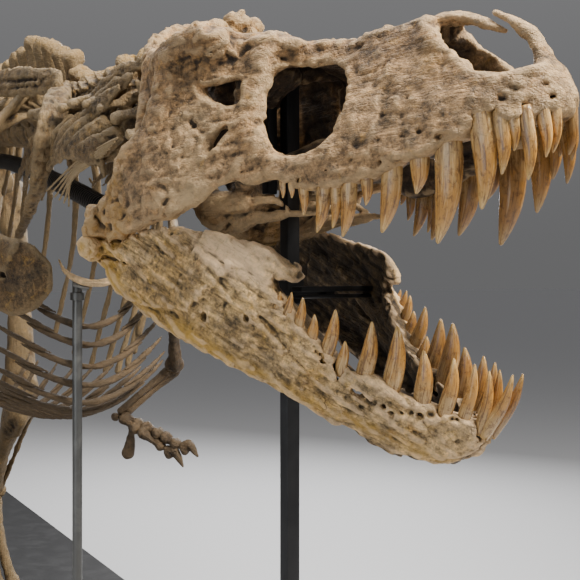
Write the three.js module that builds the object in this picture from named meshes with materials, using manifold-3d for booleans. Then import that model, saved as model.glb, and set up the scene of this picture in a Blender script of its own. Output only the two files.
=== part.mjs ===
// A mounted skeleton of a large tyrannosaur, jaws open, on its museum stand.
// Millimetres, +X forward along the trunk, +Y to the animal's left, +Z up.
// The origin is the middle of the underside of the base slab.

import * as THREE from 'three';
import { mergeVertices } from 'three/addons/utils/BufferGeometryUtils.js';
import Module from 'manifold-3d';

const wasm = await Module();
wasm.setup();

const vec = (x, y, z) => new THREE.Vector3(x, y, z);
const FORWARD = vec(1, 0, 0);
const LEFTWARD = vec(0, 1, 0);
const UP = vec(0, 0, 1);
const SIDES = { left: 1, right: -1 };
const DEG = Math.PI / 180;

const mixed = (from, to, share) => THREE.MathUtils.lerp(from, to, share);

// Clear space kept between two bones, or a bone and its support.
const GAP = 0.35;
// Clear space between two stretches of the backbone.
const DISC = 0.7;

// Base slab.
const BASE = { length: 8600, width: 2400, height: 120, corner: 60 };

// Line through the middle of every vertebra, from the tip of the tail to the back of the skull.
const SPINE_LINE = new THREE.CatmullRomCurve3([
  vec(-6000, -150, 2590), vec(-4600, 60, 2520), vec(-3000, 110, 2650), vec(-1500, 30, 2860),
  vec(-460, 0, 2950), vec(460, 0, 2940), vec(1150, 0, 2870), vec(1850, 0, 2790),
  vec(2540, 0, 2715), vec(2850, -15, 2680), vec(3150, -25, 2680), vec(3390, -8, 2615),
  vec(3572, 8, 2490),
]);
SPINE_LINE.arcLengthDivisions = 800;

// Where the regions of the backbone meet, as distances along X.
const BOUNDS = { tailTip: -4400, tailMiddle: -2350, tailBase: -460, trunk: 460, neck: 2540, neckFront: 3060 };
const COUNTS = { tip: 12, middle: 12, base: 12, sacrum: 5, trunk: 13, neckBack: 5, neckFront: 5 };

// Skull and lower jaw: how they turn, how thick their walls and gums are, how deep teeth are rooted.
const JAW_JOINT = vec(3630, 27, 2276);
const SKULL = { yaw: 18, pitch: 5, wall: 42, gum: 78, root: 34 };
const JAW = { pitch: -23.4, wall: 44, gum: 72, root: 34 };

// Limb bones.
const HIP = { x: 0, half: 300, height: 2680, head: 96, socket: 130 };
const LEG = { femur: 1280, tibia: 1150, metatarsus: 640, ball: 205 };
const STRIDE = { left: { ball: -300, lean: 30 }, right: { ball: 650, lean: 15 } };

// Supports.
const CHEST_POST = { x: 2742, y: -55, radius: 18, socket: 32, socketTop: 1020, top: 2135 };
const SKULL_POST = { ahead: 400, left: 60, wide: 48, deep: 32, top: 2800, bar: 2105 };
const HIP_POST = { x: 0, y: 0, radius: 32, top: 2920 };
const TAIL_POST = { x: -3000, y: 110, radius: 25, top: 2640 };
const FOOT_PLATE = { radius: 110, thick: 12 };

// ---------------------------------------------------------------------------------------------
// Solids

// Turns a closed surface into a solid, after placing it.
function solid(geometry, matrix = new THREE.Matrix4()) {
  const bare = geometry.clone().applyMatrix4(matrix);
  bare.deleteAttribute('normal');
  bare.deleteAttribute('uv');
  const merged = mergeVertices(bare, 1e-3);
  return new wasm.Manifold(new wasm.Mesh({
    numProp: 3,
    vertProperties: new Float32Array(merged.attributes.position.array),
    triVerts: new Uint32Array(merged.index.array),
  }));
}

const join = (pieces) => pieces.reduce((whole, piece) => whole.add(piece));

// The largest piece of a solid, without the crumbs and sealed pockets that joining can leave.
function mainPiece(whole) {
  return whole.decompose().reduce((most, piece) => (piece.volume() > most.volume() ? piece : most));
}

// Copy of a solid, moved and mirrored by a function of each corner; flip keeps its faces outward.
function redrawn(whole, move, flip = false) {
  const { vertProperties, triVerts, numProp } = whole.getMesh();
  const corners = new Float32Array((vertProperties.length / numProp) * 3);
  for (let i = 0; i < corners.length / 3; i += 1) {
    const from = i * numProp;
    const to = move(vec(vertProperties[from], vertProperties[from + 1], vertProperties[from + 2]));
    to.toArray(corners, i * 3);
  }
  const faces = new Uint32Array(triVerts);
  if (flip) {
    for (let i = 0; i < faces.length; i += 3) {
      [faces[i + 1], faces[i + 2]] = [faces[i + 2], faces[i + 1]];
    }
  }
  return new wasm.Manifold(new wasm.Mesh({ numProp: 3, vertProperties: corners, triVerts: faces }));
}

const moved = (whole, step) => redrawn(whole, (corner) => corner.add(step));

// Cuts one solid to fit against another, GAP clear of it on every side, and drops loose crumbs.
function clearOf(whole, other) {
  const steps = [FORWARD, LEFTWARD, UP].flatMap(
    (axis) => [-GAP, GAP].map((far) => axis.clone().setLength(far)),
  );
  return mainPiece(steps.reduce((kept, step) => kept.subtract(moved(other, step)), whole.subtract(other)));
}

// Axes of a bar at one place: along it, across it and up from it.
function axesAt(tangent, reference) {
  const side = tangent.clone().cross(reference).normalize();
  const rise = side.clone().cross(tangent).normalize();
  return { side, rise };
}

// Bends a round or many-sided bar along a line. half gives its half width and half height at
// each share of its length, and where lets that share run faster or slower along the line.
function sweep(line, half, sides, steps, reference = UP, where = (t) => t) {
  const shape = new THREE.CylinderGeometry(1, 1, 1, sides, steps, false, Math.PI / sides);
  const corners = shape.attributes.position;
  const reach = 1 / Math.cos(Math.PI / sides);
  for (let i = 0; i < corners.count; i += 1) {
    const t = corners.getY(i) + 0.5;
    const along = THREE.MathUtils.clamp(where(t), 0, 1);
    const { side, rise } = axesAt(line.getTangentAt(along), reference);
    const [wide, high] = half(t);
    const corner = line.getPointAt(along);
    corner.addScaledVector(side, corners.getX(i) * wide * reach);
    corner.addScaledVector(rise, corners.getZ(i) * high * reach);
    corners.setXYZ(i, corner.x, corner.y, corner.z);
  }
  return solid(shape);
}

// Half sizes read off an evenly spaced list, straight between its entries.
function sizes(list) {
  return (t) => {
    const place = t * (list.length - 1);
    const first = Math.min(Math.floor(place), list.length - 2);
    const share = place - first;
    return [0, 1].map((k) => THREE.MathUtils.lerp(list[first][k], list[first + 1][k], share));
  };
}

// A bar through a few points, with a list of half sizes.
function bone(points, list, sides = 6, steps = 4, reference = UP) {
  const line = points.length === 2
    ? new THREE.LineCurve3(points[0], points[1])
    : new THREE.CatmullRomCurve3(points);
  return sweep(line, sizes(list), sides, steps, reference);
}

function block(wide, deep, high, centre, matrix = new THREE.Matrix4()) {
  const shape = new THREE.BoxGeometry(wide, deep, high);
  shape.translate(centre.x, centre.y, centre.z);
  return solid(shape, matrix);
}

function ball(centre, radii, matrix = new THREE.Matrix4(), round = 8) {
  const shape = new THREE.SphereGeometry(1, round, round - 3);
  shape.scale(radii.x, radii.y, radii.z);
  shape.translate(centre.x, centre.y, centre.z);
  return solid(shape, matrix);
}

// A flat plate in the XZ plane, whose faces follow two functions of (x, z).
function plate(outline, holes, outer, inner, matrix, side = 1) {
  const toPoints = (list) => list.map(([x, z]) => new THREE.Vector2(x, z));
  const edge = toPoints(outline);
  const shape = new THREE.Shape(THREE.ShapeUtils.isClockWise(edge) ? edge.reverse() : edge);
  shape.holes = holes.map((hole) => new THREE.Path(toPoints(hole)));
  const body = new THREE.ExtrudeGeometry(shape, { depth: 1, bevelEnabled: false });
  const corners = body.attributes.position;
  for (let i = 0; i < corners.count; i += 1) {
    const x = corners.getX(i);
    const z = corners.getY(i);
    const y = corners.getZ(i) < 0.5 ? outer(x, z) : inner(x, z);
    corners.setXYZ(i, x, y, z);
  }
  const left = solid(body);
  const whole = side > 0 ? left : redrawn(left, (corner) => vec(corner.x, -corner.y, corner.z), true);
  return redrawn(whole, (corner) => corner.applyMatrix4(matrix));
}

// Parts two bones that meet at a point: each keeps its own side of a plane, GAP apart.
function seam(behind, ahead, point, normal, reach) {
  const turn = new THREE.Quaternion().setFromUnitVectors(UP, normal.clone().normalize());
  const cutter = (sign) => {
    const shape = new THREE.BoxGeometry(reach, reach, reach);
    shape.translate(0, 0, sign * (reach / 2 - GAP / 2));
    return solid(shape, new THREE.Matrix4().compose(point, turn, vec(1, 1, 1)));
  };
  return [behind.subtract(cutter(1)), ahead.subtract(cutter(-1))];
}

// ---------------------------------------------------------------------------------------------
// Backbone

// Share of the spine line's length at which it reaches an X.
function shareAt(x) {
  let low = 0;
  let high = 1;
  for (let i = 0; i < 30; i += 1) {
    const middle = (low + high) / 2;
    if (SPINE_LINE.getPointAt(middle).x < x) low = middle;
    else high = middle;
  }
  return (low + high) / 2;
}

const SPINE_LENGTH = SPINE_LINE.getLength();

// Cross-section of a stretch of backbone: the plain centrum, or the centrum with its neural arch,
// whose blade is tall and thick and whose wings reach out and lift. Right half, from the top down.
const PLAIN = [22.5, 67.5, 112.5, 157.5].map((angle) => [Math.sin(angle * DEG), Math.cos(angle * DEG)]);

function archRing(radius, { tall, thick, reach, lift }) {
  return [
    [thick, radius + tall], [thick * 1.6, radius * 1.15],
    [reach, radius * 0.5 + lift], [radius * 0.4, -radius * 0.9],
  ];
}

// One stretch of backbone: where it starts and ends, its number of bones, the radius at both
// ends, the neural arch of a bone at a share of the way, what else each bone carries, and how far
// the bones crowd together.
function stretch(fromX, toX, count, rims, archAt, dress, crowd = 0) {
  const clear = DISC / 2 / SPINE_LENGTH;
  const start = shareAt(fromX) + (fromX > -5900 ? clear : 0);
  const end = shareAt(toX) - clear;
  const pace = (t) => start + (end - start) * ((1 - crowd) * t + crowd * t * t);
  const radiusAt = (t) => mixed(rims[0], rims[1], (pace(t) - start) / (end - start));
  const shape = new THREE.CylinderGeometry(1, 1, 1, 8, count * 3, false, Math.PI / 8);
  const corners = shape.attributes.position;
  for (let i = 0; i < corners.count; i += 1) {
    const ring = Math.round((corners.getY(i) + 0.5) * count * 3);
    const t = (Math.floor(ring / 3) + [0, 0.2, 0.8][ring % 3]) / count;
    const line = pace(t);
    const ahead = SPINE_LINE.getTangentAt(line);
    const { side, rise } = axesAt(ahead, UP);
    const [x, z] = [corners.getX(i), corners.getZ(i)];
    const radius = radiusAt(t);
    const form = archAt(t);
    const order = Math.round((Math.atan2(Math.abs(x), z) / DEG - 22.5) / 45);
    const [wide, high] = ring % 3 === 0 ? PLAIN[order].map((v) => v * radius) : archRing(radius, form)[order];
    const corner = SPINE_LINE.getPointAt(line);
    if (Math.hypot(x, z) > 0.5) {
      corner.addScaledVector(side, Math.sign(x) * wide).addScaledVector(rise, high);
      corner.addScaledVector(ahead, -Math.max(high - radius, 0) * (ring % 3 === 0 ? 0 : form.lean));
    }
    corners.setXYZ(i, corner.x, corner.y, corner.z);
  }
  const bones = [solid(shape)];
  for (let i = 0; i < count; i += 1) {
    const share = (i + 0.5) / count;
    const line = pace(share);
    const ahead = SPINE_LINE.getTangentAt(line);
    const { side, rise } = axesAt(ahead, UP);
    const long = (pace((i + 1) / count) - pace(i / count)) * SPINE_LENGTH;
    const at = SPINE_LINE.getPointAt(line);
    bones.push(...dress({ at, ahead, left: side.negate(), rise, long, radius: radiusAt(share), share }));
  }
  return join(bones);
}

// Chevron bone that hangs below a tail vertebra.
function chevron(v, height) {
  const top = v.at.clone().addScaledVector(v.rise, -v.radius * 0.5).addScaledVector(v.ahead, -v.long * 0.3);
  const foot = top.clone().addScaledVector(v.rise, -height).addScaledVector(v.ahead, -height * 0.45);
  return bone([top, foot], [[16, 16], [11, 30]], 4, 1, v.ahead);
}

// Rib of the neck: a blade from below the side process that thins to a rod and points back.
function neckRibs(v, length) {
  return Object.values(SIDES).map((side) => {
    const from = (y, z, x) => v.at.clone().addScaledVector(v.left, side * y)
      .addScaledVector(v.rise, z).addScaledVector(v.ahead, x);
    const points = [
      from(60, -30, 0), from(140, -95, -30), from(150, -185, -length * 0.55),
      from(135, -300, -length),
    ];
    return bone(points, [[20, 22], [15, 26], [9, 13], [4, 5]], 3, 3, FORWARD);
  });
}

function buildTail() {
  const tip = stretch(-6000, BOUNDS.tailTip, COUNTS.tip, [15, 42], (t) => (
    { tall: 12 * t, thick: 6, reach: 15 + 30 * t, lift: 0, lean: 0.5 }
  ), () => [], -0.15);
  const middle = stretch(BOUNDS.tailTip, BOUNDS.tailMiddle, COUNTS.middle, [43, 68], (t) => (
    { tall: mixed(40, 125, t), thick: 12, reach: mixed(46, 105, t), lift: -18, lean: 0.4 }
  ), (v) => [chevron(v, mixed(70, 190, v.share))]);
  const base = stretch(BOUNDS.tailMiddle, BOUNDS.tailBase, COUNTS.base, [69, 100], (t) => (
    { tall: mixed(140, 290, t), thick: 18, reach: t > 0.82 ? 140 : mixed(120, 250, t), lift: 0, lean: 0.25 }
  ), (v) => (v.share < 0.85 ? [chevron(v, mixed(220, 330, v.share))] : []));
  return { tip, middle, base };
}

function buildSacrum() {
  return stretch(BOUNDS.tailBase, BOUNDS.trunk, COUNTS.sacrum, [102, 104], () => (
    { tall: 190, thick: 30, reach: 154, lift: 10, lean: 0 }
  ), () => []);
}

// Share of the neck from which its last bones, under the skull, are small and carry no ribs.
const HEAD_END = 0.9;

function buildNeck() {
  const level = { lift: 0, lean: 0 };
  const archAt = (length, from) => (t) => {
    const share = from + length * t;
    if (share > HEAD_END) return { tall: 25, thick: 24, reach: 100, ...level };
    return {
      tall: mixed(130, 95, share), thick: mixed(36, 28, share), reach: mixed(215, 130, share), ...level,
    };
  };
  const dress = (length, from) => (v) => (
    from + length * v.share > HEAD_END ? [] : neckRibs(v, mixed(240, 200, v.share))
  );
  return {
    back: stretch(BOUNDS.neck, BOUNDS.neckFront, COUNTS.neckBack, [96, 90], archAt(0.5, 0), dress(0.5, 0)),
    front: stretch(BOUNDS.neckFront, 3572, COUNTS.neckFront, [90, 78], archAt(0.5, 0.5), dress(0.5, 0.5)),
  };
}

// ---------------------------------------------------------------------------------------------
// Rib cage

// Half width, drop and backward sweep of each rib, from the neck to the hips.
const RIBS = Array.from({ length: 12 }, (_, k) => {
  const share = k / 11;
  return {
    half: 250 + 300 * Math.sin(Math.PI * Math.min(share * 1.12 + 0.12, 1)) ** 0.8 - 90 * share,
    drop: 620 + 520 * Math.sin(Math.PI * Math.min(0.12 + share * 0.8, 1)) - 420 * share ** 3,
    sweep: 110 + 170 * Math.sin(Math.PI * share) - 60 * share ** 2,
  };
});

const WING = { thick: 24, reach: 185, lift: 88, lean: 0.05 };

function rib(v, size, side) {
  const from = (y, z, x) => v.at.clone().add(vec(x, side * y, z));
  const points = [
    from(WING.reach - 45, v.radius * 0.5 + WING.lift - 4, 0),
    from(mixed(WING.reach, size.half, 0.75), 20 - size.drop * 0.1, -size.sweep * 0.2),
    from(size.half, -size.drop * 0.5, -size.sweep * 0.65),
    from(size.half * 0.8, -size.drop, -size.sweep),
  ];
  return bone(points, [[22, 40], [20, 30], [17, 24], [13, 18]], 3, 4, FORWARD);
}

function buildTrunk() {
  const halves = Object.entries(SIDES).map(([name, side]) => {
    const archAt = (t) => ({ ...WING, tall: mixed(215, 195, t), reach: t < 0.075 ? 120 : WING.reach });
    const whole = stretch(BOUNDS.trunk, BOUNDS.neck, COUNTS.trunk, [104, 96], archAt, (v) => {
      const order = Math.round((1 - v.share) * COUNTS.trunk - 0.5);
      return RIBS[order] ? [rib(v, RIBS[order], side)] : [];
    });
    const away = vec(2000, -side * (1500 - GAP / 2), 2500);
    return [name, mainPiece(whole.subtract(block(5200, 3000, 4000, away)))];
  });
  return Object.fromEntries(halves);
}

// Line that the middle of the belly ribs follows, from the breast to the hips.
const BELLY_LINE = new THREE.CatmullRomCurve3([
  vec(2716, 0, 1960), vec(2718, 0, 1800), vec(2664, 0, 1665), vec(2450, 0, 1600),
  vec(1900, 0, 1555), vec(1500, 0, 1540), vec(1190, 0, 1550),
]);

function buildGastralia() {
  const rows = 13;
  const pieces = [];
  for (let i = 0; i < rows; i += 1) {
    const share = i / (rows - 1);
    const centre = BELLY_LINE.getPointAt(share);
    const half = 160 + 255 * Math.sin(Math.PI * Math.min(share * 0.9 + 0.16, 1));
    const rise = 150 + 40 * share;
    const back = mixed(190, 90, share);
    const points = [-1, -0.55, 0, 0.55, 1].map((k) => centre.clone().add(
      vec(-back * k * k, half * k, rise * Math.abs(k) ** 1.6),
    ));
    pieces.push(bone(points, [[8, 8], [12, 13], [15, 15], [12, 13], [8, 8]], 3, 4));
  }
  // The inner ends interlock along the middle.
  pieces.push(sweep(BELLY_LINE, () => [13, 8], 4, rows, LEFTWARD));
  return join(pieces);
}

// ---------------------------------------------------------------------------------------------
// Shoulders and arms

// Wishbone: a shallow U between the shoulder blades.
function buildFurcula() {
  const points = [
    vec(2765, -145, 2215), vec(2785, -105, 2160), vec(2790, -50, 2130), vec(2792, 0, 2122),
    vec(2790, 50, 2130), vec(2785, 105, 2160), vec(2765, 145, 2215),
  ];
  return bone(points, [[7, 8], [15, 18], [14, 17], [16, 18], [14, 17], [15, 18], [7, 8]], 6, 12, FORWARD);
}

function buildShoulder(side) {
  const at = (x, y, z) => vec(x, side * y, z);
  const blade = bone(
    [at(2730, 300, 2190), at(2560, 385, 2290), at(2300, 470, 2440), at(1960, 510, 2610), at(1760, 480, 2700)],
    [[26, 95], [24, 62], [18, 50], [13, 58], [10, 105]], 4, 5, UP,
  );
  const coracoid = bone(
    [at(2660, 345, 2145), at(2755, 270, 2145), at(2815, 170, 2150)],
    [[34, 100], [30, 148], [20, 132]], 8, 2, UP,
  );
  return blade.add(coracoid).add(ball(at(2640, 350, 2080), vec(48, 38, 45), undefined, 6));
}

const ARMS = {
  left: {
    shoulder: vec(2634, 358, 2085), elbow: vec(2292, 494, 1760), wrist: vec(2215, 275, 1562),
    palm: vec(2285, 310, 1535), first: vec(2548, 500, 1419), second: vec(2502, 455, 1371),
    spur: vec(2252, 300, 1408),
  },
  right: {
    shoulder: vec(2634, -358, 2085), elbow: vec(2390, -520, 1770), wrist: vec(2500, -520, 1620),
    palm: vec(2610, -520, 1560), first: vec(2880, -560, 1440), second: vec(2840, -470, 1410),
    spur: vec(2590, -520, 1430),
  },
};

function buildArm(side) {
  const { shoulder, elbow, wrist, palm, first, second, spur } = ARMS[side];
  let humerus = bone([shoulder, elbow], [[34, 50], [30, 42], [22, 24], [22, 24], [32, 36]], 6, 4, LEFTWARD);
  const off = SIDES[side];
  const bones = [-1, 1].map((k) => bone(
    [elbow.clone().add(vec(0, k * 14, 0)), wrist.clone().add(vec(0, k * 16 * off, k * 6))],
    [[22, 24], [13, 14], [20, 20]], 4, 2, LEFTWARD,
  ));
  let forearm = join(bones);
  [humerus, forearm] = seam(humerus, forearm, elbow, wrist.clone().sub(shoulder), 130);
  const digits = [first, second].map((tip, k) => {
    const knuckle = palm.clone().lerp(tip, 0.45).add(vec(0, 0, 12));
    return bone([wrist, palm.clone().add(vec(0, (k ? -20 : 20), 0)), knuckle, tip],
      [[25, 27], [22, 23], [26, 26], [19, 21], [22, 24], [5, 6]], 4, 5, UP);
  });
  digits.push(bone([palm, spur], [[20, 20], [15, 15], [24, 22]], 5, 2, FORWARD));
  let hand = join([...digits, ball(wrist, vec(30, 30, 26), undefined, 5)]);
  [forearm, hand] = seam(forearm, hand, wrist.clone().lerp(palm, 0.12), palm.clone().sub(wrist), 110);
  return { humerus, forearm, hand };
}

// ---------------------------------------------------------------------------------------------
// Pelvis

const inward = (z) => mixed(156, 96, THREE.MathUtils.clamp((z - 3060) / 170, 0, 1));

function buildIlium(side) {
  const outline = [
    [560, 2800], [590, 3010], [500, 3160], [260, 3235], [-60, 3240], [-380, 3195],
    [-640, 3080], [-760, 2930], [-740, 2850], [-480, 2830], [-240, 2790], [-215, 2640],
    [-110, 2640], [-92, 2740], [0, 2811], [92, 2740], [115, 2640], [275, 2630], [285, 2750], [440, 2830],
  ];
  const flare = (x, z) => 60 + 45 * THREE.MathUtils.clamp((2900 - z) / 200, 0, 1);
  const outer = (x, z) => inward(z) + flare(x, z) - 8;
  return plate(outline, [], outer, (x, z) => inward(z), new THREE.Matrix4(), side);
}

function buildPubes() {
  const shafts = Object.values(SIDES).map((side) => bone(
    [
      vec(195, side * 188, 2650), vec(260, side * 150, 2420),
      vec(400, side * 66, 2000), vec(480, side * 22, 1640),
    ],
    [[38, 82], [36, 50], [34, 40], [36, 60]], 6, 6, FORWARD,
  ));
  const boot = bone(
    [vec(120, 0, 1530), vec(420, 0, 1565), vec(640, 0, 1560), vec(850, 0, 1600)],
    [[40, 26], [60, 62], [62, 74], [34, 30]], 6, 6, UP,
  );
  return join([...shafts, boot]);
}

function buildIschia() {
  const shafts = Object.values(SIDES).map((side) => bone(
    [
      vec(-165, side * 192, 2650), vec(-270, side * 150, 2450),
      vec(-520, side * 60, 2120), vec(-760, side * 14, 1830),
    ],
    [[50, 62], [30, 46], [24, 26], [28, 30]], 6, 5, FORWARD,
  ));
  return join(shafts);
}

// ---------------------------------------------------------------------------------------------
// Legs

// Metatarsals side by side, how far ahead of the knuckle the middle and the outer ones end, and
// the toes: the gap between them, the angle they fan out by, and the length of each.
const FOOT = {
  spread: [-72, 0, 72], middle: 18, outer: -12, apart: 97, fan: 17, reach: { 2: 500, 3: 640, 4: 540 },
};

// Knee in front of the line from the hip to the ankle.
function kneeOf(hip, ankle) {
  const line = ankle.clone().sub(hip);
  const span = line.length();
  const cosine = (LEG.femur ** 2 + span ** 2 - LEG.tibia ** 2) / (2 * LEG.femur * span);
  const turn = new THREE.Quaternion().setFromAxisAngle(LEFTWARD, -Math.acos(cosine));
  return hip.clone().add(line.normalize().applyQuaternion(turn).multiplyScalar(LEG.femur));
}

function buildLeg(name, side) {
  const stride = STRIDE[name];
  const hip = vec(HIP.x, side * HIP.half, HIP.height);
  const head = vec(HIP.x, side * 205, HIP.height + HIP.socket - HIP.head + 2);
  const knuckle = vec(stride.ball, side * 300, LEG.ball);
  const lean = stride.lean * DEG;
  const ankle = knuckle.clone().add(vec(-Math.sin(lean), 0, Math.cos(lean)).multiplyScalar(LEG.metatarsus));
  const knee = kneeOf(hip, ankle);
  const along = (from, to, share) => from.clone().lerp(to, share);

  let femur = join([
    bone([along(hip, knee, -0.02), along(hip, knee, 0.5).add(vec(25, side * 22, 0)), knee],
      [[70, 62], [78, 86], [66, 76], [74, 86], [100, 112]], 6, 4, LEFTWARD),
    bone([head.clone().add(vec(0, -side * 50, 0)), head, hip.clone().add(vec(0, side * 10, -20))],
      [[70, 70], [HIP.head * 0.87, HIP.head * 0.87], [72, 80]], 6, 2, FORWARD),
  ]);
  const shin = along(knee, ankle, 0.5);
  let shank = join([
    bone([along(knee, ankle, -0.02), shin, ankle],
      [[96, 118], [60, 78], [46, 50], [52, 56], [92, 66]], 6, 4, LEFTWARD),
    bone([along(knee, ankle, 0.03).add(vec(-30, side * 88, 0)), shin.clone().add(vec(10, side * 76, 0)),
      along(knee, ankle, 0.93).add(vec(10, side * 70, 0))],
    [[34, 46], [19, 24], [16, 18], [24, 26]], 4, 3, LEFTWARD),
  ]);
  [femur, shank] = seam(femur, shank, along(knee, ankle, 0.012), ankle.clone().sub(hip), 330);

  let foot = join(FOOT.spread.map((y, k) => bone(
    [
      along(ankle, knuckle, -0.03).add(vec(0, y * 0.62, 0)),
      along(ankle, knuckle, 0.5).add(vec(0, y * 0.7, 0)),
      knuckle.clone().add(vec(k === 1 ? FOOT.middle : FOOT.outer, y * 1.35, 0)),
    ],
    [[40, 56], k === 1 ? [22, 38] : [34, 46], [42, 52]], 4, 2, LEFTWARD,
  )));
  const dewclaw = bone(
    [
      along(ankle, knuckle, 0.72).add(vec(-30, -side * 75, 0)),
      along(ankle, knuckle, 0.9).add(vec(-95, -side * 95, 0)),
      knuckle.clone().add(vec(-60, -side * 118, -20)),
    ],
    [[20, 22], [17, 20], [5, 6]], 4, 2, LEFTWARD,
  );
  foot = foot.add(dewclaw);
  [shank, foot] = seam(shank, foot, along(ankle, knuckle, 0.02), knuckle.clone().sub(ankle), 300);

  const toes = {};
  const ground = BASE.height + GAP;
  Object.entries(FOOT.reach).forEach(([digit, length]) => {
    const order = (Number(digit) - 3) * side;
    const start = knuckle.clone().add(vec(order === 0 ? FOOT.middle : FOOT.outer, order * FOOT.apart, 0));
    const turn = order * FOOT.fan * DEG;
    const out = (share, rise) => vec(
      start.x + Math.cos(turn) * length * share, start.y + Math.sin(turn) * length * share, ground + rise,
    );
    const toe = bone(
      [start.clone().setZ(start.z - 6), out(0.3, 62), out(0.62, 50), out(0.84, 58), out(1, 12)],
      [[46, 54], [34, 40], [38, 44], [28, 32], [32, 36], [24, 26], [27, 34], [16, 26], [5, 7]], 5, 8, UP,
    );
    const floor = block(3000, 2400, 400, vec(start.x, start.y, ground - 200));
    const axis = out(0.3, 62).sub(start).normalize();
    const knuckleEnd = start.clone().addScaledVector(axis, 14);
    const [kept, whole] = seam(foot, toe.subtract(floor), knuckleEnd, axis, 128);
    foot = kept;
    toes[digit] = mainPiece(whole);
  });
  foot = foot.subtract(block(3000, 2400, 400, vec(knuckle.x, knuckle.y, ground - 200)));
  return { femur, shank, foot, toes };
}

// ---------------------------------------------------------------------------------------------
// Skull

function skullMatrix(pitch) {
  const turn = new THREE.Matrix4().makeRotationZ(SKULL.yaw * DEG);
  const tip = new THREE.Matrix4().makeRotationY(-pitch * DEG);
  return new THREE.Matrix4().makeTranslation(JAW_JOINT).multiply(turn).multiply(tip);
}

// Value at x on a line through a few (x, value) points.
function read(points, x) {
  const last = points.length - 1;
  if (x <= points[0][0]) return points[0][1];
  for (let i = 0; i < last; i += 1) {
    const [x0, v0] = points[i];
    const [x1, v1] = points[i + 1];
    if (x <= x1) return mixed(v0, v1, (x - x0) / (x1 - x0));
  }
  return points[last][1];
}

// Half width of the skull along the tooth row and cheeks, and along its upper edge.
const SKULL_HALF = [
  [-60, 300], [200, 350], [350, 335], [550, 270], [850, 200], [1150, 155], [1250, 135],
  [1320, 102], [1360, 60], [1400, 8],
];
const CROWN_SHARE = [[200, 0.86], [450, 0.84], [640, 0.5], [1000, 0.46], [1300, 0.5], [1400, 1]];
const CROWN_LINE = [
  [0, 500], [420, 505], [555, 462], [640, 432], [740, 411], [1060, 411], [1140, 393], [1230, 366],
  [1305, 330], [1356, 255], [1397, 135],
];

function skullHalf(x, z) {
  const rise = THREE.MathUtils.clamp((z - 60) / (read(CROWN_LINE, x) - 60), 0, 1);
  return read(SKULL_HALF, x) * mixed(1, read(CROWN_SHARE, x), rise);
}

const SKULL_SIDE = [
  [-50, 20], [20, -25], [280, -10], [415, 20], [490, 56], [650, 60], [760, 18], [900, 18],
  [1015, 46], [1200, 98], [1230, 128], [1265, 104], [1390, 116],
  [1386, 172], [1356, 255], [1305, 330], [1230, 366], [1140, 393],
  [1060, 410], [740, 410], [555, 460], [420, 500], [290, 455], [150, 410],
  [70, 330], [110, 230], [50, 100], [-45, 65],
];
const CAVITY = [
  [370, -90], [370, 430], [555, 405], [740, 362], [1050, 350], [1110, 300], [1110, 112], [1090, 108],
  [1070, -90],
];
const NOSTRIL = [[1126, 340], [1210, 244], [1292, 186], [1338, 225], [1335, 262], [1300, 312]];
const SIDE_WINDOW = [
  [667, 318], [826, 312], [870, 268], [883, 232], [793, 131], [740, 111], [659, 121], [624, 200],
];
const EYE_SOCKET = [[463, 322], [581, 333], [584, 291], [562, 256], [504, 284]];
const CHEEK_WINDOW = [[172, 150], [220, 140], [268, 170], [280, 290], [262, 385], [178, 350], [192, 250]];
// Height of the lower edge of the skull where teeth stand.
const UPPER_GUM = [[660, 62], [760, 18], [900, 18], [1015, 46], [1200, 98], [1250, 108], [1400, 110]];

// One curved tooth, as deep in the jaw as its root point lies.
function tooth(root, tip, wide, matrix, curl) {
  const middle = root.clone().lerp(tip, 0.55).add(vec(curl, 0, 0));
  const line = new THREE.CatmullRomCurve3([root, middle, tip].map((p) => p.clone().applyMatrix4(matrix)));
  return sweep(line, sizes([[wide * 0.42, wide * 0.5], [0, 0]]), 4, 1, FORWARD);
}

// Teeth along one side of a jaw: x, length and width of each, from the front to the back.
const UPPER_TEETH = [
  [1372, 85, 24], [1352, 95, 26], [1322, 130, 28], [1290, 75, 28], [1256, 118, 32],
  [1200, 200, 50], [1118, 226, 58], [1046, 84, 42], [968, 148, 46], [905, 60, 34], [850, 120, 38],
  [812, 100, 28], [776, 104, 34], [724, 64, 26], [692, 30, 18], [664, 28, 18],
];
const LOWER_TEETH = [
  [1236, 135, 24], [1208, 128, 28], [1172, 128, 32], [1128, 128, 38], [1070, 118, 42], [994, 150, 46],
  [926, 142, 42], [868, 62, 34], [824, 106, 38], [779, 66, 32], [738, 70, 30], [702, 54, 26], [674, 46, 22],
];

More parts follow.
